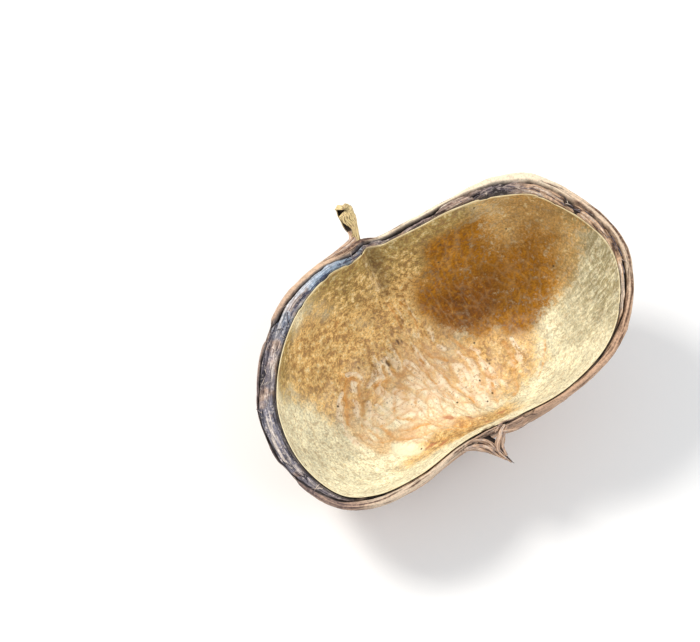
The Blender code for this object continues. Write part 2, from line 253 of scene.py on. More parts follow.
STALK = (
    (-5.5, 38.0, 42.2, 1.7),
    (-5.3, 39.6, 42.8, 1.9),
    (-5.4, 41.4, 43.9, 2.4),
    (-6.0, 43.2, 46.1, 3.3),
    (-6.3, 44.6, 48.8, 3.6),
    (-6.3, 45.6, 51.4, 3.2),
)
STALK_TURN_DEG = 6.0
STALK_OPENING_DEG = 120.0
STALK_RINGS = 90
STALK_SIDES = 44

# The line that the rim's loose fibres lie along, and the width of fibre that they need.
GUIDE_COLUMNS = 400
LEAST_FIBRE_ROOM = 1.5

# The colours of small marks, as they are picked, and of specks, as light values.
BLUE_SHADOW = (0.26, 0.31, 0.42)
BLUE_LIGHT = (0.66, 0.72, 0.79)
GOLDEN_BAND = (0.91, 0.69, 0.38)
FELT_STAIN = (0.66, 0.51, 0.33)
PALE_GRAIN = (0.97, 0.91, 0.74)
BROWN_GRAIN = (0.74, 0.52, 0.13)
WALL_STREAK = (0.57, 0.52, 0.36)
SOFT_WRINKLE = (0.97, 0.90, 0.78)
WRINKLE_NET = (0.82, 0.64, 0.46)
BARE_SPOT = (0.93, 0.92, 0.80)
RED_FLECK = (0.70, 0.45, 0.31)
LINING_EDGE = (0.92, 0.85, 0.68)
LINING_CRUMB = (0.30, 0.19, 0.10)
# Painted shade for the beak's hollow and the cores of its strands.
PAINTED_BEAK_HOLLOW_SHADE = (0.16, 0.11, 0.09)
SKIN_SPECK = (0.10, 0.055, 0.035)
SKIN_SPOT = (0.13, 0.075, 0.05)
# Painted shade for the rim's crack, gaps and pits, as light values.
PAINTED_CREVICE_SHADE = (0.022, 0.015, 0.011)
LINING_SPECK = (0.09, 0.055, 0.02)

# The stage, in metres and light values.
SKY_COLOUR = (0.95, 0.97, 1.0)
KEY_COLOUR = (1.0, 0.97, 0.92)
KEY_DISTANCE = 0.9
FILL_COLOUR = (0.95, 0.97, 1.0)
FILL_TOWARDS = (0.5, -0.5, 0.75)
FILL_DISTANCE = 1.1
FILL_SIZE = 0.8
LIT_HEIGHT = 0.03
FLOOR_COLOURS = ((0.86, 0.86, 0.85), (0.90, 0.90, 0.89))
FLOOR_REACH = 4


def length_property(name, description, default):
    return bpy.props.FloatProperty(name=name, description=description, default=default, unit="LENGTH")


def power_property(name, description, default):
    return bpy.props.FloatProperty(name=name, description=description, default=default, unit="POWER")


def angle_property(name, description, degrees):
    return bpy.props.FloatProperty(
        name=name, description=description, default=math.radians(degrees), subtype="ANGLE"
    )


def colour_property(name, description, default):
    return bpy.props.FloatVectorProperty(
        name=name, description=description, default=default, size=3, min=0, max=1, subtype="COLOR_GAMMA"
    )


class PodShape(bpy.types.PropertyGroup):
    columns: bpy.props.IntProperty(
        name="Columns", description="Points round the pod's seam", default=620, min=100, max=800
    )
    lining_thickness: length_property("Lining thickness", "Thickness of the papery lining", 0.0008)
    lining_gap: length_property("Lining gap", "Gap between husk and lining", 0.0003)
    fold_height: length_property("Fold height", "Height of the lining's broad folds", 0.0011)
    fold_pitch: length_property("Fold pitch", "Distance between creases across the folds", 0.0040)
    puff_height: length_property("Puff height", "Height of the wrinkles between creases", 0.0009)
    crack_depth: length_property("Crack depth", "Depth of the split between skin and fibre", 0.0016)
    fibre_spacing: length_property("Fibre spacing", "Between loose fibres along the rim", 0.0016)
    fibre_length: length_property("Fibre length", "Length of a loose fibre", 0.0036)
    fibre_radius: length_property("Fibre radius", "Radius of a loose fibre", 0.00008)


class PodColours(bpy.types.PropertyGroup):
    skin: colour_property("Skin", "Outer skin of the husk", (0.76, 0.62, 0.51))
    skin_dark: colour_property("Skin mottling", "Darker patches of the outer skin", (0.58, 0.42, 0.30))
    ridge: colour_property("Rim ridge", "Pale ridges of skin on the rim", (0.78, 0.63, 0.51))
    # The paler skin of the rim, which is painted light on its high and near sides.
    fresh: colour_property("Fresh rim", "Paler skin on the high side of the rim", (0.94, 0.87, 0.76))
    groove: colour_property("Rim groove", "Grooves between the ridges", (0.36, 0.25, 0.18))
    warm: colour_property("Fresh fibre", "Fibre of the rim where it is not weathered", (0.74, 0.60, 0.47))
    grey: colour_property("Grey fibre", "Weathered fibre of the rim", (0.42, 0.38, 0.41))
    blue: colour_property("Blue fibre", "Blue-grey bloom on the fibre", (0.54, 0.60, 0.66))
    pale: colour_property("Pale fibre", "Pale flecks of fibre", (0.86, 0.79, 0.72))
    # This dark colour is also partly painted shade in the hollows of the rim's fibre.
    dark: colour_property("Dark fibre", "Stained fibre of the rim", (0.13, 0.11, 0.15))
    cream: colour_property("Cream lining", "Pale lining near the rim", (0.97, 0.95, 0.82))
    olive: colour_property("Olive lining", "Lining near the stalk and the grey rim", (0.72, 0.62, 0.38))
    gold: colour_property("Golden lining", "Golden lining in the lobes", (0.89, 0.74, 0.48))
    tan: colour_property("Tan lining", "Lining under the high rim", (0.81, 0.65, 0.40))
    # Brown and deep lining: partly the lining's own colour and partly painted shadow of the high rim.
    brown: colour_property("Brown lining", "Lining in the deep of the high lobe", (0.65, 0.43, 0.02))
    deep: colour_property("Deep lining", "Darkest lining at the foot of the high lobe", (0.54, 0.33, 0.0))
    wall: colour_property("Wall lining", "Lining on the steep wall", (0.86, 0.84, 0.72))
    # Partly the wrinkles' own pale colour and partly painted highlight.
    crest: colour_property("Wrinkles", "Pale wrinkles between the creases", (0.97, 0.91, 0.80))
    crease: colour_property("Crease", "Orange creases of the lining", (0.84, 0.61, 0.33))
    stalk: colour_property("Stalk", "Dried stalk", (0.95, 0.85, 0.62))
    # Darkened further, this colour is painted shade on the stalk's inner face.
    stalk_dark: colour_property("Stalk hollow", "Hollow of the stalk", (0.35, 0.23, 0.12))


class PodStage(bpy.types.PropertyGroup):
    azimuth: angle_property("Azimuth", "Bearing of the camera", -33)
    elevation: angle_property("Elevation", "Height of the camera above the horizon", 62)
    distance: length_property("Distance", "From the pod to the camera", 0.42)
    lens: bpy.props.FloatProperty(
        name="Lens", description="Focal length for a 36 mm sensor", default=69.12, unit="CAMERA"
    )
    key_azimuth: angle_property("Key azimuth", "Bearing of the key light", -40)
    key_elevation: angle_property("Key elevation", "Height of the key light", 50)
    key_size: length_property("Key size", "Side of the key light's square", 0.26)
    key_power: power_property("Key light", "Power of the key light", 6.6)
    fill_power: power_property("Fill light", "Power of the fill light", 5.2)
    daylight: bpy.props.FloatProperty(
        name="Daylight", description="Strength of the light from all round", default=0.6
    )


def smooth_curve(points, steps, closed):
    """Evenly spaced points along a smooth curve through the given ones, whatever else they carry."""
    points = np.array(points, float)
    count = len(points)
    spans = count if closed else count - 1
    fine = []
    for i in range(spans):
        if closed:
            before, start, end, after = (points[(i + k) % count] for k in (-1, 0, 1, 2))
        else:
            before, start, end, after = (points[min(max(i + k, 0), count - 1)] for k in (-1, 0, 1, 2))
        for s in np.linspace(0, 1, 24, endpoint=False):
            fine.append(
                0.5
                * (
                    2 * start
                    + (end - before) * s
                    + (2 * before - 5 * start + 4 * end - after) * s**2
                    + (3 * start - before - 3 * end + after) * s**3
                )
            )
    fine.append(points[0] if closed else points[-1])
    fine = np.array(fine)
    run = np.concatenate([[0], np.cumsum(np.linalg.norm(np.diff(fine[:, :3], axis=0), axis=1))])
    places = np.linspace(0, run[-1], steps, endpoint=not closed)
    return np.array([np.interp(places, run, fine[:, k]) for k in range(fine.shape[1])]).T


def softened(values, reach):
    """Values round a closed ring, averaged over their neighbours."""
    weights = np.hanning(2 * reach + 3)[1:-1]
    total = sum(w * np.roll(values, k, axis=0) for w, k in zip(weights, range(-reach, reach + 1)))
    return total / weights.sum()


def step(low, high, values):
    """A smooth step from 0 to 1 between low and high."""
    t = np.clip((values - low) / (high - low), 0, 1)
    return t * t * (3 - 2 * t)


def lattice_noise(points, seed):
    """Smooth noise between -1 and 1 with features one unit across."""
    cell = np.floor(points)
    part = points - cell
    part = part * part * (3 - 2 * part)
    total = 0
    for corner in itertools.product((0, 1), repeat=3):
        key = (cell + corner) @ np.array([127.1, 311.7, 74.7]) + seed * 53.3
        value = np.mod(np.sin(key) * 43758.5453, 1.0)
        weight = np.prod(np.where(corner, part, 1 - part), axis=-1)
        total = total + value * weight
    return total * 2 - 1


def cloud(points, size, seed, octaves=2):
    """Layered noise whose largest features are size across, along each axis where size has three values."""
    points = points / np.array(size, float)
    total, weight = 0, 0
    for k in range(octaves):
        total = total + lattice_noise(points * 2.03**k + 17 * k, seed + k) / 2**k
        weight += 1 / 2**k
    return total / weight * 1.4


class Shell:
    """The pod's form below its seam, in millimetres, as rings that go round from the stalk."""

    def __init__(self, columns):
        seam = smooth_curve(SEAM, columns, closed=True)
        self.columns = columns
        self.edge = seam[:, :3]
        self.rim_width = seam[:, 3]
        self.skin_share, self.crack, self.gap, self.greyness, self.blueness = seam[:, 4:].T
        self.soft_edge = softened(self.edge, columns // 14)
        bearing = np.arctan2(self.edge[:, 1], self.edge[:, 0])
        swing = np.cos(bearing - math.radians(RIM_SLOPE_TOWARDS_DEG))
        self.start_angle = np.radians(RIM_SLOPE_DEG + RIM_SLOPE_SWING_DEG * swing)
        length = np.linalg.norm(np.roll(self.edge, -1, axis=0) - self.edge, axis=1).sum()
        turn = np.linspace(0, 2 * math.pi, columns, endpoint=False)
        self.way = np.stack([np.cos(turn), np.sin(turn)], axis=1) * length / (2 * math.pi)
        self.wave = 0.35 * (np.sin(7 * turn + 1) + 0.6 * np.sin(17 * turn + 3) + 0.4 * np.sin(31 * turn))

    def back(self, share):
        """The ring of points on the outside, at a share of the way from the seam to the lowest point."""
        angle = self.start_angle + (math.pi / 2 - self.start_angle) * share
        across = (np.cos(angle) / np.cos(self.start_angle)) ** BACK_FULLNESS
        down = (np.sin(angle) - np.sin(self.start_angle)) / (1 - np.sin(self.start_angle))
        edge = self.edge + (self.soft_edge - self.edge) * step(0, NOTCH_FADE, share)
        ring = np.empty((len(edge), 3))
        ring[:, 0] = BACK_CENTRE[0] + (edge[:, 0] - BACK_CENTRE[0]) * across
        ring[:, 1] = BACK_CENTRE[1] + (edge[:, 1] - BACK_CENTRE[1]) * across
        ring[:, 2] = edge[:, 2] * (1 - down)
        return ring

    def outward(self, share):
        """The outward directions at that ring, and the directions that lead up out of the mouth."""
        above, below = self.back(max(share - 0.01, 0)), self.back(min(share + 0.01, 0.999))
        up = above - below
        middle = self.back(share)
        along = np.roll(middle, -1, axis=0) - np.roll(middle, 1, axis=0)
        out = np.cross(up, along)
        out /= np.linalg.norm(out, axis=1)[:, None]
        centre = np.array([*BACK_CENTRE, middle[:, 2].mean()])
        if ((middle - centre) * out).sum() < 0:
            out = -out
        return out, up / np.linalg.norm(up, axis=1)[:, None]

    def furrow(self, ring, share):
        """How far the back is drawn in along the line from the stalk to the beak."""
        depth = FURROW_DEPTH * math.sin(math.pi * min(1.0, share / 0.9) * 0.5) ** 2
        return depth * np.exp(-(((ring[:, 0] - FURROW_X) / FURROW_WIDTH) ** 2))

    def outside(self, share, proud=0.0):
        ring = self.back(share)
        out, _ = self.outward(share)
        ring = ring - out * (self.furrow(ring, share) - proud)[:, None]
        ring[:, 2] = np.maximum(ring[:, 2] - FOOT_SINK * share**2, 0)
        return ring

    def wall(self, share):
        """The husk's thickness, which grows towards the rim."""
        run = np.linalg.norm(self.back(share) - self.edge, axis=1)
        return WALL + (self.rim_width - WALL) * np.exp(-run / RIM_THICKENING_LENGTH)

    def inside(self, share, beyond=0.0):
        """The ring on the husk's inside, or further in by a distance."""
        ring = self.back(share)
        out, _ = self.outward(share)
        depth = self.wall(share) + self.furrow(ring, share) + beyond
        ring = ring - out * np.broadcast_to(depth, len(ring))[:, None]
        ring[:, 2] -= FOOT_SINK * share**2
        return ring

    def below_rim(self, share):
        """Distance from the seam down the wall."""
        steps = [self.back(share * k / 12) for k in range(13)]
        return sum(np.linalg.norm(b - a, axis=1) for a, b in zip(steps, steps[1:]))

    def near(self, places):
        """How near each column is to any of the places x, y, reach, from 0 to 1."""
        total = np.zeros(self.columns)
        for x, y, reach in places:
            away = np.hypot(self.edge[:, 0] - x, self.edge[:, 1] - y)
            total = np.maximum(total, 1 - step(0.4 * reach, reach, away))
        return total

    def along_rim(self, millimetres_in):
        """Places for a grain that runs along the rim: two coordinates go round it and one goes across it."""
        across = np.broadcast_to(millimetres_in, (self.columns,))
        return np.concatenate([self.way, across[:, None]], axis=1)


def grid_mesh(name, rings, first_pole, last_pole, fields):
    """A closed mesh over rings of equal length between two poles, with named values on its points."""
    count = len(rings[0])
    points = np.concatenate([np.reshape(first_pole, (1, 3)), *rings, np.reshape(last_pole, (1, 3))])
    points = (points - POD_CENTRE) * MM
    column = np.arange(count)
    following = (column + 1) % count
    faces = [(0, int(1 + b), int(1 + a)) for a, b in zip(column, following)]
    starts = 1 + count * np.arange(len(rings) - 1)[:, None]
    corners = (column, following, count + following, count + column)
    quads = np.stack([starts + corner for corner in corners], -1)
    faces += [tuple(q) for q in quads.reshape(-1, 4).tolist()]
    base = 1 + count * (len(rings) - 1)
    faces += [(len(points) - 1, int(base + a), int(base + b)) for a, b in zip(column, following)]
    mesh = bpy.data.meshes.new(name)
    mesh.from_pydata(points.tolist(), [], faces)
    for field, values in fields.items():
        values = np.array(values, float)
        values = np.concatenate([values[:1, 0], values.reshape(-1, *values.shape[2:]), values[-1:, 0]])
        kind, key = ("FLOAT_VECTOR", "vector") if values.ndim == 2 else ("FLOAT", "value")
        mesh.attributes.new(field, kind, "POINT").data.foreach_set(key, values.astype(np.float32).ravel())
    mesh.shade_smooth()
    return face_outwards(mesh)


def face_outwards(mesh):
    """Turns the whole mesh over if its faces point inwards."""
    mesh.calc_loop_triangles()
    corners = np.empty(len(mesh.loop_triangles) * 3, int)
    mesh.loop_triangles.foreach_get("vertices", corners)
    points = np.empty(len(mesh.vertices) * 3)
    mesh.vertices.foreach_get("co", points)
    a, b, c = points.reshape(-1, 3)[corners].reshape(-1, 3, 3).transpose(1, 0, 2)
    if (a * np.cross(b, c)).sum() < 0:
        mesh.flip_normals()
    return mesh


def show_piece(name, mesh, node, finish):
    """Puts a finished mesh in the scene in place of its solid."""
    piece = bpy.data.objects.new(name, mesh)
    bpy.context.scene.collection.objects.link(piece)
    if not mesh.materials:
        mesh.materials.append(finish)
    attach(piece, "root")
    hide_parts(node)


class Finish:
    """A material under construction. Its nodes are added one by one, and take sockets or plain values."""

    def __init__(self, name, roughness, bump_distance):
        self.material = bpy.data.materials.new(name)
        self.material.use_nodes = True
        self.tree = self.material.node_tree
        self.shader = self.tree.nodes["Principled BSDF"]
        self.shader.inputs["Roughness"].default_value = roughness
        self.bump_distance = bump_distance
        self.place = self.add("ShaderNodeTexCoord").outputs["Object"]

    def add(self, kind, **settings):
        node = self.tree.nodes.new(kind)
        for key, value in settings.items():
            setattr(node, key, value)
        return node

    def put(self, socket, value):
        if isinstance(value, bpy.types.NodeSocket):
            self.tree.links.new(value, socket)
        elif socket.type == "RGBA":
            socket.default_value = (*value, 1)
        else:
            socket.default_value = value

    def field(self, name, vector=False):
        node = self.add("ShaderNodeAttribute", attribute_name=name)
        return node.outputs["Vector" if vector else "Fac"]

    def noise(self, size, detail=3.0, place=None, stretch=None, rough=0.55):
        """Noise with features of a size, in the units of its place."""
        place = self.place if place is None else place
        if stretch is not None:
            mapping = self.add("ShaderNodeMapping", vector_type="POINT")
            self.put(mapping.inputs["Vector"], place)
            mapping.inputs["Scale"].default_value = stretch
            place = mapping.outputs["Vector"]
        node = self.add("ShaderNodeTexNoise")
        self.put(node.inputs["Vector"], place)
        node.inputs["Scale"].default_value = 1 / size
        node.inputs["Detail"].default_value = detail
        node.inputs["Roughness"].default_value = rough
        return node.outputs["Fac"]

    def range(self, value, low, high, start=0.0, end=1.0):
        """Takes low to start and high to end, with a smooth turn."""
        node = self.add("ShaderNodeMapRange", interpolation_type="SMOOTHSTEP")
        self.put(node.inputs["Value"], value)
        for socket, number in zip(("From Min", "From Max", "To Min", "To Max"), (low, high, start, end)):
            node.inputs[socket].default_value = number
        return node.outputs["Result"]

    def maths(self, operation, a, b):
        node = self.add("ShaderNodeMath", operation=operation)
        self.put(node.inputs[0], a)
        self.put(node.inputs[1], b)
        return node.outputs[0]

    def plus(self, a, b):
        return self.maths("ADD", a, b)

    def times(self, a, b):
        return self.maths("MULTIPLY", a, b)

    def without(self, share):
        """What is left of 1 without a share."""
        return self.maths("SUBTRACT", 1.0, share)

    def blend(self, share, a, b, how="MIX"):
        node = self.add("ShaderNodeMix", data_type="RGBA", blend_type=how)
        self.put(node.inputs["Factor"], share)
        colours = [s for s in node.inputs if s.type == "RGBA"]
        self.put(colours[0], a)
        self.put(colours[1], b)
        return next(s for s in node.outputs if s.type == "RGBA")

    def shade(self, colour, amount):
        """The colour made darker or lighter by a number between 0 and 2."""
        grey = self.add("ShaderNodeCombineColor")
        for socket in grey.inputs:
            self.put(socket, amount)
        return self.blend(1.0, colour, grey.outputs["Color"], "MULTIPLY")

    def specks(self, size, spread):
        """Small spots, one in a cell of the size at most, and only in some cells."""
        node = self.add("ShaderNodeTexVoronoi")
        self.put(node.inputs["Vector"], self.place)
        node.inputs["Scale"].default_value = 1 / size
        spot = self.range(node.outputs["Distance"], 0.05, 0.12, 1.0, 0.0)
        some = self.range(self.noise(spread, 1.0), 0.56, 0.60)
        return self.times(spot, some)

    def finish(self, colour, height, strength):
        bump = self.add("ShaderNodeBump")
        bump.inputs["Strength"].default_value = strength
        bump.inputs["Distance"].default_value = self.bump_distance
        self.put(bump.inputs["Height"], height)
        self.put(self.shader.inputs["Base Color"], colour)
        self.put(self.shader.inputs["Normal"], bump.outputs["Normal"])
        return self.material


def linear(colour):
    """A picked colour as the shader's light values."""
    return tuple(c / 12.92 if c <= 0.04045 else ((c + 0.055) / 1.055) ** 2.4 for c in colour)


def outer_skin(made, colours, way, grain):
    """The mottled skin of the outside, with veins up it and specks of two sizes."""
    patches = made.noise(0.006, 4.0, rough=0.65)
    veins = made.noise(1.0, 4.0, way, (0.30, 0.30, 0.05), 0.7)
    cast = made.noise(0.019, 3.0, rough=0.6)
    blotches = made.range(made.plus(patches, made.times(grain, 0.35)), 0.60, 0.92, 0.0, 0.75)
    colour = made.blend(blotches, linear(colours.skin), linear(colours.skin_dark))
    colour = made.shade(colour, made.range(cast, 0.35, 0.65, 0.80, 1.10))
    colour = made.shade(colour, made.range(veins, 0.35, 0.65, 0.88, 1.08))
    colour = made.shade(colour, made.range(grain, 0.3, 0.7, 0.66, 1.24))
    colour = made.blend(made.specks(0.0022, 0.007), colour, SKIN_SPECK)
    return made.blend(made.specks(0.0045, 0.016), colour, SKIN_SPOT)


def rim_skin(made, colours, way, grain):
    """The ridged skin on the rim, paler on its high and near sides, where light is painted on it, and greyer
    where it is weathered.
    """
    grey, blue, fresh = (made.field(name) for name in ("grey", "blue", "fresh"))
    ridges = made.noise(1.0, 4.0, way, (0.14, 0.14, 1.7))
    tone = made.plus(made.times(made.field("relief"), 0.30), ridges)
    # Painted light: the ridges turn paler on the rim's high and near sides.
    ridge = made.blend(fresh, linear(colours.ridge), linear(colours.fresh))
    ridged = made.range(made.plus(tone, made.times(fresh, 0.08)), 0.34, 0.60)
    colour = made.blend(ridged, linear(colours.groove), ridge)
    colour = made.blend(made.range(grain, 0.52, 0.64, 0.0, 0.45), colour, linear(colours.skin))
    weathered = made.times(made.times(made.times(grey, 0.65), made.without(blue)), made.without(fresh))
    colour = made.blend(weathered, colour, linear(colours.grey))
    return made.shade(colour, made.range(grain, 0.3, 0.7, 0.72, 1.20))


def rim_fibre(made, colours, way, threads, grain):
    """The rim's fibre: warm, grey or blue by place, darker in its hollows, partly with painted shade, and
    pale on its threads.
    """
    blue = made.field("blue")
    tone = made.plus(made.times(made.field("relief"), 0.34), threads)
    grey = made.times(made.field("grey"), made.range(made.noise(0.009, 3.0), 0.50, 0.62, 1.0, 0.45))
    middle = made.blend(blue, linear(colours.grey), linear(colours.blue))
    middle = made.blend(grey, linear(colours.warm), middle)
    # In the hollows the fibre is darkened, partly with painted shade.
    low = made.blend(grey, linear(colours.groove), linear(colours.dark))
    low = made.blend(made.times(blue, 0.6), low, linear(BLUE_SHADOW))
    high = made.blend(made.times(blue, 0.8), linear(colours.pale), linear(BLUE_LIGHT))
    colour = made.blend(made.range(tone, 0.30, 0.50), low, middle)
    colour = made.blend(made.range(tone, 0.56, 0.76, 0.0, 0.85), colour, high)
    crumbs = made.range(made.noise(0.0011, 2.0, rough=0.7), 0.56, 0.62, 0.0, 0.45)
    colour = made.blend(made.times(crumbs, grey), colour, high)
    lines = made.noise(1.0, 3.0, way, (0.15, 0.15, 3.8), 0.6)
    colour = made.shade(colour, made.range(lines, 0.36, 0.64, 0.58, 1.36))
    return made.shade(colour, made.range(grain, 0.3, 0.7, 0.70, 1.25))


def husk_finish(colours):
    """Matte skin, mottled outside and ridged on the rim, over weathered fibre, with painted shade in the
    split between them and in the rim's other gaps and pits.
    """
    made = Finish("husk_skin_and_fibre", 0.82, 0.0002)
    way, cut = made.field("way", vector=True), made.field("cut")
    threads = made.noise(1.0, 4.0, way, (0.22, 0.22, 2.2), 0.65)
    grain = made.noise(0.0008, 3.0, rough=0.7)
    covered = made.blend(cut, outer_skin(made, colours, way, grain), rim_skin(made, colours, way, grain))
    colour = made.blend(made.field("skin"), rim_fibre(made, colours, way, threads, grain), covered)
    # Painted shade in the crack, the gap beside the lining, the pits and the hidden inside.
    colour = made.blend(made.field("dark"), colour, PAINTED_CREVICE_SHADE)
    return made.finish(colour, made.plus(made.times(threads, cut), grain), 0.8)


def lining_by_place(made, colours, grain):
    """The lining's colour by place, with ragged borders, and the golden bands round the wrinkled patch."""
    colour = linear(colours.cream)
    mixing = made.range(grain, 0.25, 0.75, -0.55, 0.55)
    for zone in LINING_ZONES:
        place = made.field(zone)
        share = made.plus(place, made.times(mixing, made.range(place, 0.0, 0.3)))
        colour = made.blend(made.range(share, 0.05, 0.95), colour, linear(getattr(colours, zone)))
    return made.blend(made.times(made.field("band"), 0.75), colour, linear(GOLDEN_BAND))


def felted(made, colour, grain, fine):
    """The colour with a fine felt of darker stains and paler grains, and streaks on the steep wall."""
    spot = made.field("pale_spot")
    streaks = made.noise(1.0, 3.0, made.field("way", vector=True), (0.8, 0.8, 0.2), 0.7)
    felt = made.maths("MAXIMUM", made.field("gold"), made.field("olive"))
    stain = made.times(made.range(grain, 0.38, 0.54, 1.0, 0.0), made.range(spot, 0.3, 0.7, 1.0, 0.05))
    stain = made.times(stain, made.range(felt, 0.0, 1.0, 0.42, 0.80))
    colour = made.blend(stain, colour, made.blend(1.0, colour, linear(FELT_STAIN), "MULTIPLY"))
    light = made.times(made.range(grain, 0.53, 0.68), made.range(spot, 0.3, 0.7, 0.60, 0.0))
    pale = made.blend(made.field("brown"), linear(PALE_GRAIN), linear(BROWN_GRAIN))
    colour = made.blend(light, colour, pale)
    streaky = made.times(made.range(streaks, 0.44, 0.58, 0.75, 0.0), made.field("wall"))
    colour = made.blend(streaky, colour, linear(WALL_STREAK))
    colour = made.shade(colour, made.range(fine, 0.32, 0.68, 0.74, 1.16))
    return made.shade(colour, made.range(made.noise(0.007, 3.0), 0.3, 0.7, 0.84, 1.12))


def wrinkled(made, colours, colour, grain):
    """The colour with pale wrinkles, partly painted highlight on their tops, a net of fine lines on them, and
    orange creases between them.
    """
    crest, soft = made.field("crest"), made.field("soft")
    fibrous = made.noise(1.0, 4.0, made.field("fold", vector=True), (0.55, 0.20, 0.5), 0.7)
    colour = made.blend(made.times(soft, 0.30), colour, linear(SOFT_WRINKLE))
    ragged = made.range(made.plus(fibrous, made.times(grain, 0.5)), 0.56, 0.88, 0.15, 1.3)
    # The pale lift on the crests is partly the wrinkles' own colour and partly painted highlight.
    lift = made.range(made.times(crest, ragged), 0.12, 0.7, 0.0, 0.85)
    dots = made.range(made.noise(0.0009, 1.0), 0.58, 0.68, 1.0, 0.45)
    colour = made.blend(lift, colour, made.shade(linear(colours.crest), dots))
    net = made.times(made.field("net"), made.range(fibrous, 0.34, 0.52, 0.0, 0.8))
    on_wrinkles = made.times(made.maths("MAXIMUM", crest, soft), 0.7)
    colour = made.blend(made.times(net, on_wrinkles), colour, linear(WRINKLE_NET))
    on_brown = made.range(made.field("brown"), 0.3, 1.0, 0.0, 0.10)
    colour = made.blend(made.times(net, on_brown), colour, linear(colours.cream))
    orange = made.times(made.field("crease"), made.range(fibrous, 0.36, 0.56, 0.95, 0.35))
    return made.blend(orange, colour, linear(colours.crease))


def lining_finish(colours):
    """Papery lining: coloured by place, finely grained, with orange creases in pale wrinkles."""
    made = Finish("papery_lining", 0.50, 0.00016)
    made.shader.inputs["Coat Weight"].default_value = 0.10
    made.shader.inputs["Coat Roughness"].default_value = 0.4
    made.shader.inputs["Specular IOR Level"].default_value = 0.3
    grain = made.noise(0.0021, 3.0, rough=0.8)
    fine = made.noise(0.0007, 2.0)
    colour = felted(made, lining_by_place(made, colours, grain), grain, fine)
    colour = wrinkled(made, colours, colour, grain)
    for mark, strength, tint in (
        ("pale_spot", 0.75, BARE_SPOT),
        ("fleck", 0.8, RED_FLECK),
        ("edge", 1.0, LINING_EDGE),
        ("stain", 0.85, LINING_CRUMB),
    ):
        colour = made.blend(made.times(made.field(mark), strength), colour, linear(tint))
    colour = made.blend(made.specks(0.0045, 0.012), colour, LINING_SPECK)
    return made.finish(colour, made.plus(grain, made.times(fine, 0.4)), 0.7)


def stalk_finish(colours):
    """Dry strip with lengthwise fibres, with painted shade in its hollow."""
    made = Finish("dry_stalk", 0.75, 0.0002)
    threads = made.noise(1.0, 4.0, made.field("way", vector=True), (3.0, 3.0, 0.25), 0.6)
    colour = made.blend(made.range(threads, 0.36, 0.52), linear(colours.stalk_dark), linear(colours.stalk))
    colour = made.blend(made.range(made.noise(0.003), 0.5, 0.7, 0.0, 0.5), colour, linear(colours.ridge))
    # Painted shade on the curled strip's inner face.
    colour = made.blend(made.field("hollow"), colour, linear(tuple(c * 0.4 for c in colours.stalk_dark)))
    return made.finish(colour, threads, 0.8)


def beak_finish(colours):
    """Weathered strands, pale and dark by turns, with painted shade on the hollow sheet and on the strands'
    cores.
    """
    made = Finish("frayed_beak", 0.8, 0.0002)
    threads = made.noise(1.0, 4.0, made.field("way", vector=True), (3.5, 3.5, 0.3), 0.6)
    colour = made.blend(made.range(threads, 0.36, 0.50), linear(colours.groove), linear(colours.ridge))
    colour = made.blend(made.range(threads, 0.50, 0.62), colour, linear(colours.pale))
    colour = made.blend(made.range(made.noise(0.0016), 0.52, 0.62, 0.0, 0.45), colour, linear(colours.grey))
    # Painted shade on the hollow sheet and on each strand's dark core.
    colour = made.blend(made.field("hollow"), colour, linear(PAINTED_BEAK_HOLLOW_SHADE))
    return made.finish(colour, threads, 0.8)


def fibre_finish(colours):
    """Loose fibres, each lighter or darker than the next."""
    made = Finish("loose_fibre", 0.8, 0.0001)
    tone = made.noise(0.0035, 2.0, rough=0.8)
    colour = made.blend(made.range(tone, 0.36, 0.52), linear(colours.dark), linear(colours.grey))
    colour = made.blend(made.range(tone, 0.52, 0.66), colour, linear(colours.pale))
    return made.finish(colour, made.noise(0.0003, 1.0), 0.4)


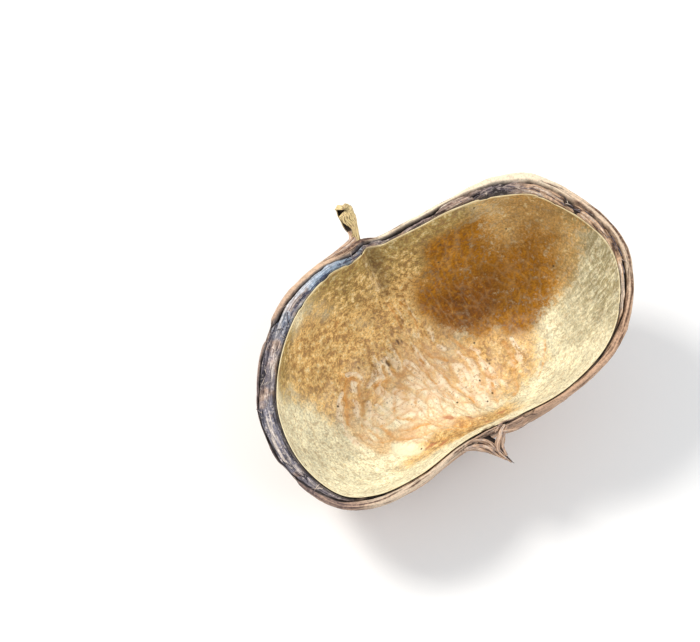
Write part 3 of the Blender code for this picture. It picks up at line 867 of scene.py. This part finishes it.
def rim_face(shell, shape, share):
    """One ring of the rim's cut face, at a share of its width, with the fields that its finish reads."""
    into = shell.rim_width * share
    along, place = shell.along_rim(0), shell.along_rim(into)
    torn, hollow = shell.near(TORN_PLACES), shell.near(HOLLOW_PLACES)

    # How much of each point is skin, fibre, the crack between them, and the gap beside the lining.
    skin_to = shell.rim_width * shell.skin_share * (1 - 0.8 * torn) + 0.3 * cloud(along, 8, 31, 3)
    split = np.maximum(shell.crack * (1 + 0.9 * cloud(along, 5, 32)), 0.05)
    skin = 1 - step(skin_to - 0.2, skin_to, into)
    fibre = step(skin_to + split, skin_to + split + 0.3, into)
    crack = 1 - np.maximum(skin, fibre) - np.minimum(skin, fibre)
    gap_from = shell.rim_width - shell.gap * (1 + 0.6 * cloud(along, 6, 38))
    ending = step(gap_from - 0.25, gap_from + 0.05, into)
    gap = ending * np.minimum(1, 2.5 * shell.gap)

    # The relief of each: ridges on the skin, and threads, bands and pits in the fibre.
    ridges = cloud(place, (16, 16, 0.75), 33, 3)
    threads = cloud(place, (9, 9, 0.6), 34, 3)
    streak = 0.35 * shell.greyness * math.cos(8.8 * (share - 0.5))
    bands = 0.7 * cloud(place, (24, 24, 1.8), 39, 3) + streak
    lumps = cloud(place, (2.4, 2.4, 1.3), 35)
    pits = step(0.35, 0.75, lumps + 0.6 * hollow - 0.2) * (0.25 + 0.75 * hollow) * fibre
    lip = 1 - (1 - np.minimum(1, into / 0.7)) ** 2
    skin_rise = 0.75 * lip + 0.22 * ridges + 0.6 * shell.wave
    fibre_rise = 0.30 + 0.30 * threads + 0.30 * bands - 1.1 * pits - 0.8 * shell.wave
    crack_fall = crack * np.minimum(shape.crack_depth / MM, 3 * split)
    rise = (skin * skin_rise + fibre * fibre_rise - crack_fall) * (1 - ending) - 0.7 * gap

    out, up = shell.outward(0)
    ragged = (0.22 * cloud(along, 5, 37, 3) - 0.7 * torn) * (1 - step(0.0, 0.5, share))
    ring = shell.edge - out * (into - ragged)[:, None] + up * rise[:, None]
    # The dark field is painted shade in the crack, the gap beside the lining and the pits.
    dark = np.clip(crack * np.minimum(1, 2.5 * split) + 0.7 * gap + 0.9 * pits, 0, 1)
    relief = skin * ridges + fibre * (0.7 * threads + 0.8 * bands - 0.8 * pits)
    return ring, dict(skin=skin, dark=dark, relief=relief, cut=np.ones(shell.columns), way=place)


def outer_ring(shell, share):
    """One ring of the outer wall, with the fields that its finish reads."""
    down = shell.below_rim(share)
    bare = shell.outside(share)
    torn = shell.near(TORN_PLACES) * (1 - step(1.0, 5.0, down))
    near_rim = 1 - step(1.5, 6.0, down)
    place = shell.along_rim(-down)
    ridges = cloud(place, (16, 16, 0.7), 33, 3)
    lumps = 0.34 * cloud(bare, 10, 41, 3) + 0.07 * cloud(bare, 1.6, 42, 2)
    ragged = 0.22 * cloud(shell.along_rim(0), 5, 37, 3) * (1 - step(0, 4, down))
    off_floor = step(0.5, 6.0, bare[:, 2])
    proud = (lumps * step(0, 3, down) + 0.14 * ridges * near_rim + ragged - 0.7 * torn) * off_floor
    ring = shell.outside(share, proud)
    skin = 1 - step(0.2, 0.8, torn + 0.2 * ridges * torn)
    none = np.zeros(shell.columns)
    return ring, dict(skin=skin, dark=none, relief=ridges * near_rim, cut=near_rim, way=place)


def rim_paleness_and_painted_light(shell):
    """How pale the rim's skin is round the seam: on its high side and on its near side, where the paleness is
    painted light, and by the blue fibre.
    """
    x, y = shell.edge[:, 0], shell.edge[:, 1]
    # Painted light on the rim's high side and on its near side.
    high_side = step(0, 30, y) * step(-6, 2, x)
    lobe_end = 0.55 * step(50, 60, x) * step(-30, -10, y)
    near_side = 0.6 * step(28, 34, -y) * step(-46, -36, x) * (1 - step(-5, 15, x))
    return np.max([high_side, lobe_end, near_side, 0.25 * shell.blueness], axis=0)


def husk_mesh(shape):
    shell = Shell(shape.columns)
    made = [outer_ring(shell, (k / OUTER_RINGS) ** 1.6) for k in reversed(range(OUTER_RINGS))]
    made += [rim_face(shell, shape, share) for share in np.linspace(0.03, 1.0, RIM_RINGS)]
    # The husk's inside, hidden behind the lining, gets painted shade.
    inner_fields = {**made[-1][1], "dark": np.full(shell.columns, 0.35)}
    made += [(shell.inside(share), inner_fields) for share in INNER_SHARES]
    rings = [ring for ring, _ in made]
    table = {key: [fields[key] for _, fields in made] for key in inner_fields}
    for key, values in (("grey", shell.greyness), ("blue", shell.blueness), ("fresh", rim_paleness_and_painted_light(shell))):
        table[key] = [values] * len(rings)
    floor = FURROW_DEPTH - FOOT_SINK
    poles = (*BACK_CENTRE, floor), (*BACK_CENTRE, floor + WALL)
    return grid_mesh("husk_wall", rings, *poles, table)


def cell_borders(u, v, seed):
    """Each point's distance to the border of its cell in a jittered lattice, and a number for that cell."""
    nearest = np.full(u.shape, 9.0)
    second, number = nearest.copy(), nearest * 0
    for i, j in itertools.product(range(-2, 3), repeat=2):
        cell_u, cell_v = np.floor(u) + i, np.floor(v) + j
        a = np.mod(np.sin(cell_u * 127.1 + cell_v * 311.7 + seed) * 43758.5453, 1.0)
        b = np.mod(np.sin(cell_u * 269.5 + cell_v * 183.3 + seed) * 43758.5453, 1.0)
        away = np.hypot(cell_u + a - u, cell_v + b - v)
        number = np.where(away < nearest, a, number)
        second = np.minimum(second, np.maximum(nearest, away))
        nearest = np.minimum(nearest, away)
    return second - nearest, number


def fold_places(points):
    """Each point's distance across the folds, where its fold crosses the middle, and its place along them."""
    start, end = np.array(FOLD_ENDS)
    half = np.linalg.norm(start - end) / 2
    axis = (start - end) / (2 * half)
    flat = points[..., :2] - (start + end) / 2
    along = flat @ axis / half
    aside = flat @ np.array([axis[1], -axis[0]]) / half
    aside = np.where(np.abs(aside) < 1e-4, 1e-4, aside)
    q = (1 - along**2 - aside**2) / np.abs(aside)
    across = np.sign(aside) * (np.sqrt(q * q + 4) - q) / 2
    return half * across, half * along


def inside_oval(points, place):
    """How far inside an oval each point is: 1 in its middle, 0 on its border."""
    x, y, reach_x, reach_y = place
    return 1 - np.hypot((points[..., 0] - x) / reach_x, (points[..., 1] - y) / reach_y)


def near_paths(points, paths, wander=0.5):
    """How near each point is to any path, from 0 to 1. A path is a half width, a strength and places x, y."""
    x = points[..., 0] + wander * cloud(points, 3.0, 91, 3)
    y = points[..., 1] + wander * cloud(points, 3.0, 95, 3)
    near = np.zeros(points.shape[:-1])
    for half_width, strength, *path in paths:
        for (start_x, start_y), (end_x, end_y) in zip(path, path[1:]):
            dx, dy = end_x - start_x, end_y - start_y
            part = np.clip(((x - start_x) * dx + (y - start_y) * dy) / (dx * dx + dy * dy), 0, 1)
            away = np.hypot(x - start_x - part * dx, y - start_y - part * dy)
            near = np.maximum(near, strength * (1 - step(0.4, 1.3, away / half_width)))
    return near


def lining_folds(points, below, shape):
    """Height of the folds over the bare lining, and the fields of creases, crests and fine wrinkles."""
    across, along = fold_places(points)
    lower_lobe = 1 - step(-24, -4, points[..., 0])
    across = across + lower_lobe * (below - 62 - across)
    across = across + 1.5 * cloud(points, 13, 51) + 0.6 * cloud(points, 4, 52)
    spot = near_paths(points, PALE_SPOT)
    patch = step(-0.25, 0.40, inside_oval(points, FOLD_PATCH) + 0.22 * cloud(points, 7, 55)) * (1 - spot)
    pitch = shape.fold_pitch / MM
    border, number = cell_borders(across / pitch, along / (2.8 * pitch), 5.0)
    small, _ = cell_borders(across / (0.5 * pitch), along / (1.1 * pitch), 9.0)
    broad = (0.5 + 0.5 * np.cos(2 * math.pi * across / BROAD_FOLD_PITCH)) ** 1.3
    puffs = step(0.02, 0.55, border) * number
    folds = shape.fold_height / MM * broad + shape.puff_height / MM * puffs
    net = 1 - step(0.0, 0.30, small)
    rough = 0.20 * (1 - net) + 0.2 * cloud(points, 1.7, 60, 2)
    height = folds * patch * step(1, 9, below) + rough * step(1, 8, below) * (1 - 0.8 * spot)

    pale = near_paths(points, PALE_FOLDS) * step(0.3, 2.5, below)
    deep = near_paths(points, CREASES, 0.35) * step(0.3, 2.5, below)
    height = height + (0.55 * pale - 0.45 * deep) * step(1, 4, below)
    # Crests are painted pale, partly their own colour and partly painted highlight.
    crest = np.maximum(0.75 * step(0.05, 0.45, border) * patch * step(0.25, 0.75, number), pale)
    crease = np.maximum(0.55 * (1 - step(0.05, 0.30, border)) * patch, deep)
    fold = np.stack([across, along, 0 * across], -1)
    soft = step(-0.15, 0.55, inside_oval(points, FOLD_PATCH) + 0.30 * cloud(points, 6, 56, 3)) * (1 - spot)
    return height + 0.15, dict(crease=crease, crest=crest, soft=soft, net=net * step(2, 10, below), fold=fold)


def flecks(points):
    """How red each point is with flecks, from 0 to 1."""
    total = np.zeros(points.shape[:-1])
    ragged = 0.3 * cloud(points, 1.5, 79)
    for x, y, length, bearing in FLECKS:
        turn = math.radians(bearing)
        dx, dy = points[..., 0] - x, points[..., 1] - y
        lengthwise = dx * math.cos(turn) + dy * math.sin(turn)
        sideways = dy * math.cos(turn) - dx * math.sin(turn)
        away = np.hypot(lengthwise / (0.5 * length), sideways / 0.65)
        total = np.maximum(total, 1 - step(0.7, 1.2, away + ragged))
    return total


def crumbs_by_beak(points, below):
    """How dark each point is with crumbs, just below the edge by the beak, from 0 to 1."""
    x, y = points[..., 0], points[..., 1]
    place = step(-2, 1, x) * (1 - step(8, 12, x)) * step(20, 25, -y) * (1 - step(1.0, 2.5, below))
    return place * step(-0.15, 0.3, cloud(points, 1.6, 77, 2))


def lining_colours(points, below, way):
    """The fields of the lining's coloured zones and marks."""
    uneven = 0.16 * cloud(points, 8, 71, 3)
    fields = {}
    for zone, places in LINING_ZONES.items():
        start, full, roughness = ZONE_BORDERS.get(zone, ZONE_BORDER)
        share = np.max([inside_oval(points, place) for place in places], axis=0)
        fields[zone] = step(start, full, share + roughness * uneven)
    fields["gold"] = fields["gold"] * step(2, 14, below + 3 * uneven)
    fields["brown"] = fields["brown"] * step(4, 16, below + 3 * uneven)
    fields["pale_spot"] = near_paths(points, PALE_SPOT, 0.8)
    fields["stain"] = np.maximum(near_paths(points, STAINS), crumbs_by_beak(points, below))
    fields["band"] = near_paths(points, GOLDEN_BANDS, 1.2)
    fields["fleck"] = flecks(points)
    edge = (1 - step(0.2, 0.65, below)) * (0.75 + 0.5 * cloud(points, 5, 80))
    return {**fields, "edge": np.clip(edge, 0, 1), "way": way}


def lining_mesh(shape):
    shell = Shell(shape.columns * 9 // 10)
    gap, full = shape.lining_gap / MM, shape.lining_thickness / MM
    _, up = shell.outward(0)
    along = shell.along_rim(0)
    wavy = 0.16 + 0.28 * cloud(along, 7, 61, 3) - 0.6 * step(0.45, 0.8, cloud(along, 5, 62))
    rings, fields = [], []
    for k in range(LINING_RINGS):
        share = 0.004 + 0.992 * (k / LINING_RINGS) ** 1.12
        below = shell.below_rim(share)
        thick = gap + 0.3 + (full - 0.3) * step(0, 5, below)
        bare = shell.inside(share, thick)
        height, folds = lining_folds(bare, below, shape)
        rings.append(shell.inside(share, thick + height * step(0, 2.5, below)))
        fields.append({**lining_colours(bare, below, shell.along_rim(below)), **folds})
    hidden = [shell.inside(share, gap) for share in HIDDEN_SHARES]
    for across, lower in ((gap, 0.5), (gap, 0.0), (gap + 0.15, -0.06), (gap + 0.3, 0.0)):
        hidden.append(shell.inside(0, across) + up * (wavy - lower)[:, None])
    rings = hidden + rings
    fields = [fields[0]] * len(hidden) + fields
    table = {key: [field[key] for field in fields] for key in fields[0]}
    floor = FURROW_DEPTH - FOOT_SINK + WALL + gap
    poles = (*BACK_CENTRE, floor), (*BACK_CENTRE, rings[-1][:, 2].mean())
    return grid_mesh("lining_sheet", rings, *poles, table)


def sweep_mesh(name, line, section, fields):
    """A closed mesh along a line of points. From a share of the way, section gives a ring's offsets."""
    ways = np.gradient(line[:, :3], axis=0)
    rings, tables = [], []
    for index, (point, way) in enumerate(zip(line, ways)):
        forward = Vector(way).normalized()
        side = forward.cross(Vector((0, 0, 1))).normalized()
        top = side.cross(forward)
        offsets, table = section(index / (len(line) - 1), point[3])
        axes = np.array([side, top, forward])
        rings.append(point[:3] + offsets @ axes)
        tables.append(table)
    table = {key: [t[key] for t in tables] for key in fields}
    return grid_mesh(name, rings, rings[0].mean(axis=0), rings[-1].mean(axis=0), table)


def stalk_mesh():
    """A strip curled into a gutter, ridged lengthwise, that flares to a ragged end."""
    line = smooth_curve(STALK, STALK_RINGS, closed=False)
    turn = math.radians(STALK_TURN_DEG)
    spread = np.concatenate([np.linspace(-1, 1, STALK_SIDES), np.linspace(1, -1, STALK_SIDES)])
    is_inner = np.arange(2 * STALK_SIDES) >= STALK_SIDES

    def section(share, radius):
        opening = math.radians(STALK_OPENING_DEG - 20 + 70 * math.sin(math.pi * share))
        angles = turn + spread * (math.pi - opening / 2)
        thick = 0.65 + 0.5 * (1 - share)
        ridges = 0.12 * np.cos(9 * angles + 2 * share) + 0.07 * np.cos(21 * angles + 5 * share)
        place = np.stack([np.cos(angles) * 3, np.sin(angles) * 3, np.full(len(angles), share * 14)], 1)
        rough = 0.12 * cloud(place, (0.8, 0.8, 4), 81, 3)
        reach = np.where(is_inner, np.maximum(radius - thick, 0.2), radius) + ridges + rough
        pull = 0.9 * cloud(place, (1.2, 1.2, 50), 82, 3) * step(0.8, 1.0, share)
        offsets = np.stack([reach * np.cos(angles), reach * np.sin(angles), pull], 1)
        # The inner face of the curl is marked for painted shade.
        hollow = np.where(is_inner, step(0.1, 0.4, share) * (1 - step(0.9, 1.0, share)), 0.0)
        return offsets, dict(hollow=hollow, way=place)

    return sweep_mesh("stalk_strip", line, section, ("hollow", "way"))


def strand_mesh(name, path, seed, flat=1.0, dark=0.0, sides=10):
    """A rough strand round a path of points and radii."""
    around = np.linspace(0, 2 * math.pi, sides, endpoint=False)

    def section(part, radius):
        place = np.stack([np.cos(around), np.sin(around), np.full(sides, part * 12)], 1)
        reach = radius * (1 + 0.3 * cloud(place + 9 * seed, (0.7, 0.7, 3), 83))
        offsets = np.stack([reach * np.cos(around), flat * reach * np.sin(around), 0 * reach], 1)
        return offsets, dict(way=place + 5 * seed, hollow=np.full(sides, dark))

    return sweep_mesh(name, path, section, ("way", "hollow"))


def beak_meshes():
    """The strands of the beak, each a bundle of twisted fibres that end at different lengths."""
    rng = np.random.default_rng(5)
    hollow = smooth_curve(BEAK_HOLLOW, BEAK_HOLLOW_RINGS, closed=False)
    # A flat dark sheet in the beak's hollow, painted shade.
    made = [strand_mesh("beak_hollow", hollow, 1, flat=0.3, dark=1.0)]
    for strand in BEAK_STRANDS:
        line = smooth_curve(strand, BEAK_RINGS, closed=False)
        for k in range(BEAK_FIBRES + 1):
            is_core = k == BEAK_FIBRES
            ends = BEAK_RINGS if is_core else int(BEAK_RINGS * rng.uniform(0.75, 1.0))
            share = np.linspace(0, 1, BEAK_RINGS)[:ends]
            turn = 2 * math.pi * k / BEAK_FIBRES + rng.uniform(-0.3, 0.3)
            turn = turn + 1.8 * share + 0.4 * np.sin(9 * share + k)
            away = (0.0 if is_core else 0.74) * line[:ends, 3]
            path = line[:ends].copy()
            path[:, 0] += away * np.cos(turn)
            path[:, 2] += away * np.sin(turn)
            path[:, 3] *= 0.42 * (1 - 0.75 * np.linspace(0, 1, ends) ** 3)
            # Each strand's core fibre is dark: painted shade that shows between the fibres round it.
            made.append(strand_mesh(f"beak_fibre_{len(made)}", path, len(made), dark=0.85 * is_core))
    return made


def vein_mesh():
    """The raised vein that runs from the stalk along the rim's outer skin."""
    line = smooth_curve(VEIN, VEIN_RINGS, closed=False)
    return strand_mesh("rim_vein", line, 3, flat=0.8, sides=VEIN_SIDES)


def joined(name, meshes, finish):
    """One mesh out of several."""
    objects = [bpy.data.objects.new(mesh.name, mesh) for mesh in meshes]
    for piece in objects:
        bpy.context.scene.collection.objects.link(piece)
    with bpy.context.temp_override(active_object=objects[0], selected_editable_objects=objects):
        bpy.ops.object.join()
    mesh = objects[0].data
    mesh.name = name
    bpy.data.objects.remove(objects[0])
    mesh.materials.clear()
    mesh.materials.append(finish)
    return mesh


def rim_guide():
    """Edges along the rim's fibre, each point with its ways inwards and upwards."""
    shell = Shell(GUIDE_COLUMNS)
    out, up = shell.outward(0)
    skin = shell.rim_width * shell.skin_share + shell.crack
    room = shell.rim_width - shell.gap - skin
    start = shell.edge - out * (skin + 0.2)[:, None] + up * 0.3
    across = -out * np.maximum(room - 0.5, 0.1)[:, None] * MM
    edges = [(k, (k + 1) % GUIDE_COLUMNS) for k in range(GUIDE_COLUMNS) if room[k] > LEAST_FIBRE_ROOM]
    mesh = bpy.data.meshes.new("rim_guide")
    mesh.from_pydata(((start - POD_CENTRE) * MM).tolist(), edges, [])
    for name, values in (("across", across), ("upwards", up)):
        attribute = mesh.attributes.new(name, "FLOAT_VECTOR", "POINT")
        attribute.data.foreach_set("vector", values.astype(np.float32).ravel())
    return mesh


class Tree:
    """A geometry tree under construction, with named inputs."""

    def __init__(self, name):
        self.group = bpy.data.node_groups.new(name, "GeometryNodeTree")
        self.group.is_modifier = True
        self.group.interface.new_socket("Geometry", in_out="INPUT", socket_type="NodeSocketGeometry")
        self.group.interface.new_socket("Geometry", in_out="OUTPUT", socket_type="NodeSocketGeometry")
        self.names = {}
        self.start = self.group.nodes.new("NodeGroupInput")
        self.end = self.group.nodes.new("NodeGroupOutput")

    def input(self, name, kind, value):
        socket = self.group.interface.new_socket(name, in_out="INPUT", socket_type=kind)
        self.names[name] = (socket.identifier, value)
        return self.start.outputs[name]

    def add(self, kind, inputs=None, **settings):
        node = self.group.nodes.new(kind)
        for key, value in settings.items():
            setattr(node, key, value)
        for key, value in (inputs or {}).items():
            if isinstance(value, bpy.types.NodeSocket):
                self.group.links.new(value, node.inputs[key])
            else:
                node.inputs[key].default_value = value
        return node

    def vary(self, low, high, seed):
        """A random number for each point."""
        node = self.add("FunctionNodeRandomValue", data_type="FLOAT")
        numbers = [s for s in node.inputs if s.type == "VALUE"]
        numbers[0].default_value, numbers[1].default_value = low, high
        next(s for s in node.inputs if s.name == "Seed").default_value = seed
        return next(s for s in node.outputs if s.type == "VALUE")

    def sum(self, a, b):
        """The sum of two vectors."""
        return self.add("ShaderNodeVectorMath", {0: a, 1: b}, operation="ADD").outputs["Vector"]

    def scaled(self, vector, amount):
        node = self.add("ShaderNodeVectorMath", {0: vector, "Scale": amount}, operation="SCALE")
        return node.outputs["Vector"]

    def named(self, name):
        node = self.add("GeometryNodeInputNamedAttribute", {"Name": name}, data_type="FLOAT_VECTOR")
        return node.outputs["Attribute"]

    def apply(self, mesh, name):
        """The plain mesh that the tree makes of this one."""
        carrier = bpy.data.objects.new(name, mesh)
        bpy.context.scene.collection.objects.link(carrier)
        modifier = carrier.modifiers.new(name, "NODES")
        modifier.node_group = self.group
        for identifier, value in self.names.values():
            modifier[identifier] = value
        graph = bpy.context.evaluated_depsgraph_get()
        made = bpy.data.meshes.new_from_object(carrier.evaluated_get(graph))
        bpy.data.objects.remove(carrier)
        return made


def fibre_tree(shape, finish):
    """Loose fibres scattered over the rim's fibre, lying nearly along it."""
    tree = Tree("loose_fibres")
    spacing = tree.input("Spacing", "NodeSocketFloat", shape.fibre_spacing)
    length = tree.input("Length", "NodeSocketFloat", shape.fibre_length)
    radius = tree.input("Radius", "NodeSocketFloat", shape.fibre_radius)
    material = tree.input("Material", "NodeSocketMaterial", finish)

    # Places along the rim, each moved a little by chance.
    curve = tree.add("GeometryNodeMeshToCurve", {"Mesh": tree.start.outputs["Geometry"]})
    spaced = {"Curve": curve.outputs[0], "Length": spacing}
    points = tree.add("GeometryNodeResampleCurve", spaced, mode="LENGTH")
    tangent = tree.add("GeometryNodeInputTangent").outputs[0]
    shift = tree.scaled(tree.named("across"), tree.vary(0.0, 1.0, 1))
    lift = tree.scaled(tree.named("upwards"), tree.vary(-0.0002, 0.0002, 2))
    slip = tree.scaled(tangent, tree.vary(-0.001, 0.001, 3))
    offset = tree.sum(tree.sum(shift, lift), slip)
    placed = tree.add("GeometryNodeSetPosition", {"Geometry": points.outputs[0], "Offset": offset})

    # Each fibre lies nearly along the rim.
    along = tree.add("FunctionNodeAlignEulerToVector", {"Vector": tangent}, axis="X")
    swing = tree.add("ShaderNodeCombineXYZ", {"Y": tree.vary(-0.05, 0.03, 4), "Z": tree.vary(-0.1, 0.1, 5)})
    turns = {"Rotation": along.outputs[0], "Rotate By": swing.outputs[0]}
    turned = tree.add("FunctionNodeRotateEuler", turns, space="LOCAL")

    # One fibre, bowed sideways.
    strand = tree.add("GeometryNodeCurvePrimitiveLine", {"Start": (-0.5, 0, 0), "End": (0.5, 0, 0)})
    strand = tree.add("GeometryNodeResampleCurve", {"Curve": strand.outputs[0], "Count": 6})
    place = tree.add("GeometryNodeInputPosition").outputs[0]
    split = tree.add("ShaderNodeSeparateXYZ", {"Vector": place})
    bow = tree.add("ShaderNodeMath", {0: split.outputs["X"], 1: split.outputs["X"]}, operation="MULTIPLY")
    bow = tree.add("ShaderNodeMath", {0: bow.outputs[0], 1: -0.2}, operation="MULTIPLY")
    bent = tree.add("ShaderNodeCombineXYZ", {"Y": bow.outputs[0]})
    strand = tree.add("GeometryNodeSetPosition", {"Geometry": strand.outputs[0], "Offset": bent.outputs[0]})
    size = tree.add("ShaderNodeCombineXYZ", {"X": length, "Y": length, "Z": length})
    strand = tree.add("GeometryNodeTransform", {"Geometry": strand.outputs[0], "Scale": size.outputs[0]})
    ring = tree.add("GeometryNodeCurvePrimitiveCircle", {"Resolution": 5, "Radius": radius})
    swept = {"Curve": strand.outputs[0], "Profile Curve": ring.outputs[0], "Fill Caps": True}
    strand = tree.add("GeometryNodeCurveToMesh", swept)

    # The fibres, each longer or thicker than the next.
    reach, thick = tree.vary(0.35, 1.3, 6), tree.vary(0.6, 1.7, 7)
    spread = tree.add("ShaderNodeCombineXYZ", {"X": reach, "Y": thick, "Z": thick})
    scatter = {
        "Points": placed.outputs[0],
        "Instance": strand.outputs[0],
        "Rotation": turned.outputs[0],
        "Scale": spread.outputs[0],
    }
    scattered = tree.add("GeometryNodeInstanceOnPoints", scatter)
    real = tree.add("GeometryNodeRealizeInstances", {"Geometry": scattered.outputs[0]})
    dressed = tree.add("GeometryNodeSetMaterial", {"Geometry": real.outputs[0], "Material": material})
    tree.group.links.new(dressed.outputs[0], tree.end.inputs[0])
    return tree


class POD_OT_husk(bpy.types.Operator):
    """Make the woody wall with its layered rim"""

    bl_idname = "pod.husk"
    bl_label = "Husk"

    def execute(self, context):
        scene = context.scene
        show_piece("husk_wall", husk_mesh(scene.pod_shape), "husk", husk_finish(scene.pod_colours))
        return {"FINISHED"}


class POD_OT_lining(bpy.types.Operator):
    """Make the wrinkled papery lining"""

    bl_idname = "pod.lining"
    bl_label = "Lining"

    def execute(self, context):
        scene = context.scene
        show_piece("lining_sheet", lining_mesh(scene.pod_shape), "lining", lining_finish(scene.pod_colours))
        return {"FINISHED"}


class POD_OT_stalk(bpy.types.Operator):
    """Make the curled stub of the stalk"""

    bl_idname = "pod.stalk"
    bl_label = "Stalk"

    def execute(self, context):
        show_piece("stalk_strip", stalk_mesh(), "stalk", stalk_finish(context.scene.pod_colours))
        return {"FINISHED"}


class POD_OT_beak(bpy.types.Operator):
    """Make the forked, frayed beak"""

    bl_idname = "pod.beak"
    bl_label = "Beak"

    def execute(self, context):
        finish = beak_finish(context.scene.pod_colours)
        show_piece("beak_strands", joined("beak_strands", beak_meshes(), finish), "husk", finish)
        show_piece("rim_vein", vein_mesh(), "husk", finish)
        return {"FINISHED"}


class POD_OT_fibres(bpy.types.Operator):
    """Scatter loose fibres along the rim"""

    bl_idname = "pod.fibres"
    bl_label = "Rim fibres"

    def execute(self, context):
        scene = context.scene
        finish = fibre_finish(scene.pod_colours)
        mesh = fibre_tree(scene.pod_shape, finish).apply(rim_guide(), "rim_fibres")
        show_piece("rim_fibres", mesh, "husk", finish)
        return {"FINISHED"}


def add_light(name, power, size, towards, distance, colour):
    """A square light that shines at the pod from a direction."""
    light = bpy.data.lights.new(name, "AREA")
    light.energy = power
    light.size = size
    light.color = colour
    lamp = bpy.data.objects.new(name, light)
    direction = Vector(towards).normalized()
    lamp.location = Vector((0, 0, LIT_HEIGHT)) + direction * distance
    lamp.rotation_euler = direction.to_track_quat("Z", "Y").to_euler()
    bpy.context.scene.collection.objects.link(lamp)


def add_camera(stage):
    """The camera, aimed so that the pod's middle falls on its place in the picture."""
    a, e = stage.azimuth, stage.elevation
    back = Vector((math.sin(a) * math.cos(e), -math.cos(a) * math.cos(e), math.sin(e)))
    right = Vector((math.cos(a), math.sin(a), 0))
    up = back.cross(right)
    middle = (Vector((0, 0, POD_MIDDLE_HEIGHT)) - Vector(POD_CENTRE)) * MM
    pixel = stage.distance / (stage.lens / SENSOR_WIDTH * PHOTO_SIZE[0])
    aside, below = (place - size / 2 for place, size in zip(POD_MIDDLE_PIXEL, PHOTO_SIZE))
    aim = middle - right * aside * pixel + up * below * pixel
    data = bpy.data.cameras.new("camera")
    data.lens = stage.lens
    data.sensor_width = SENSOR_WIDTH
    data.clip_start, data.clip_end = 0.01, 20
    camera = bpy.data.objects.new("camera", data)
    camera.location = middle + back * stage.distance
    camera.rotation_euler = (aim - camera.location).to_track_quat("-Z", "Y").to_euler()
    bpy.context.scene.collection.objects.link(camera)
    bpy.context.scene.camera = camera


def add_floor():
    """A wide, pale, plain floor."""
    made = Finish("pale_floor", 0.9, 0.0002)
    made.shader.inputs["Specular IOR Level"].default_value = 0.2
    made.put(made.shader.inputs["Base Color"], made.blend(made.noise(0.3, 2.0), *FLOOR_COLOURS))
    mesh = bpy.data.meshes.new("floor")
    corners = [(x * FLOOR_REACH, y * FLOOR_REACH, 0) for x, y in ((-1, -1), (1, -1), (1, 1), (-1, 1))]
    mesh.from_pydata(corners, [], [(0, 1, 2, 3)])
    mesh.materials.append(made.material)
    floor = bpy.data.objects.new("floor", mesh)
    bpy.context.scene.collection.objects.link(floor)


class POD_OT_stage(bpy.types.Operator):
    """Set up the floor, the lights and the camera"""

    bl_idname = "pod.stage"
    bl_label = "Stage"

    def execute(self, context):
        scene, stage = context.scene, context.scene.pod_stage
        scene.view_settings.view_transform = "Standard"
        world = bpy.data.worlds.new("studio")
        world.use_nodes = True
        background = world.node_tree.nodes["Background"]
        background.inputs["Color"].default_value = (*SKY_COLOUR, 1)
        background.inputs["Strength"].default_value = stage.daylight
        scene.world = world
        azimuth, elevation = stage.key_azimuth, stage.key_elevation
        level = math.cos(elevation)
        key_towards = (math.sin(azimuth) * level, math.cos(azimuth) * level, math.sin(elevation))
        add_light("key", stage.key_power, stage.key_size, key_towards, KEY_DISTANCE, KEY_COLOUR)
        add_light("fill", stage.fill_power, FILL_SIZE, FILL_TOWARDS, FILL_DISTANCE, FILL_COLOUR)
        add_camera(stage)
        add_floor()
        return {"FINISHED"}


class POD_PT_panel(bpy.types.Panel):
    """Sizes, colours and steps of the pod"""

    bl_idname = "POD_PT_panel"
    bl_label = "Sterculia pod"
    bl_space_type = "VIEW_3D"
    bl_region_type = "UI"
    bl_category = "Pod"

    def draw(self, context):
        for group_name in GROUPS:
            group, box = getattr(context.scene, group_name), self.layout.box()
            for name in group.bl_rna.properties.keys():
                if name not in ("rna_type", "name"):
                    box.prop(group, name)
        for operator in OPERATORS:
            self.layout.operator(operator.bl_idname)


OPERATORS = (POD_OT_husk, POD_OT_lining, POD_OT_stalk, POD_OT_beak, POD_OT_fibres, POD_OT_stage)
GROUPS = {"pod_shape": PodShape, "pod_colours": PodColours, "pod_stage": PodStage}
CLASSES = (*GROUPS.values(), *OPERATORS, POD_PT_panel)


def register():
    for cls in CLASSES:
        bpy.utils.register_class(cls)
    for name, group in GROUPS.items():
        setattr(bpy.types.Scene, name, bpy.props.PointerProperty(type=group))


def unregister():
    for name in GROUPS:
        delattr(bpy.types.Scene, name)
    for cls in reversed(CLASSES):
        bpy.utils.unregister_class(cls)


def main():
    register()
    bpy.ops.pod.husk()
    bpy.ops.pod.lining()
    bpy.ops.pod.stalk()
    bpy.ops.pod.beak()
    bpy.ops.pod.fibres()
    bpy.ops.pod.stage()


if __name__ == "__main__":
    main()
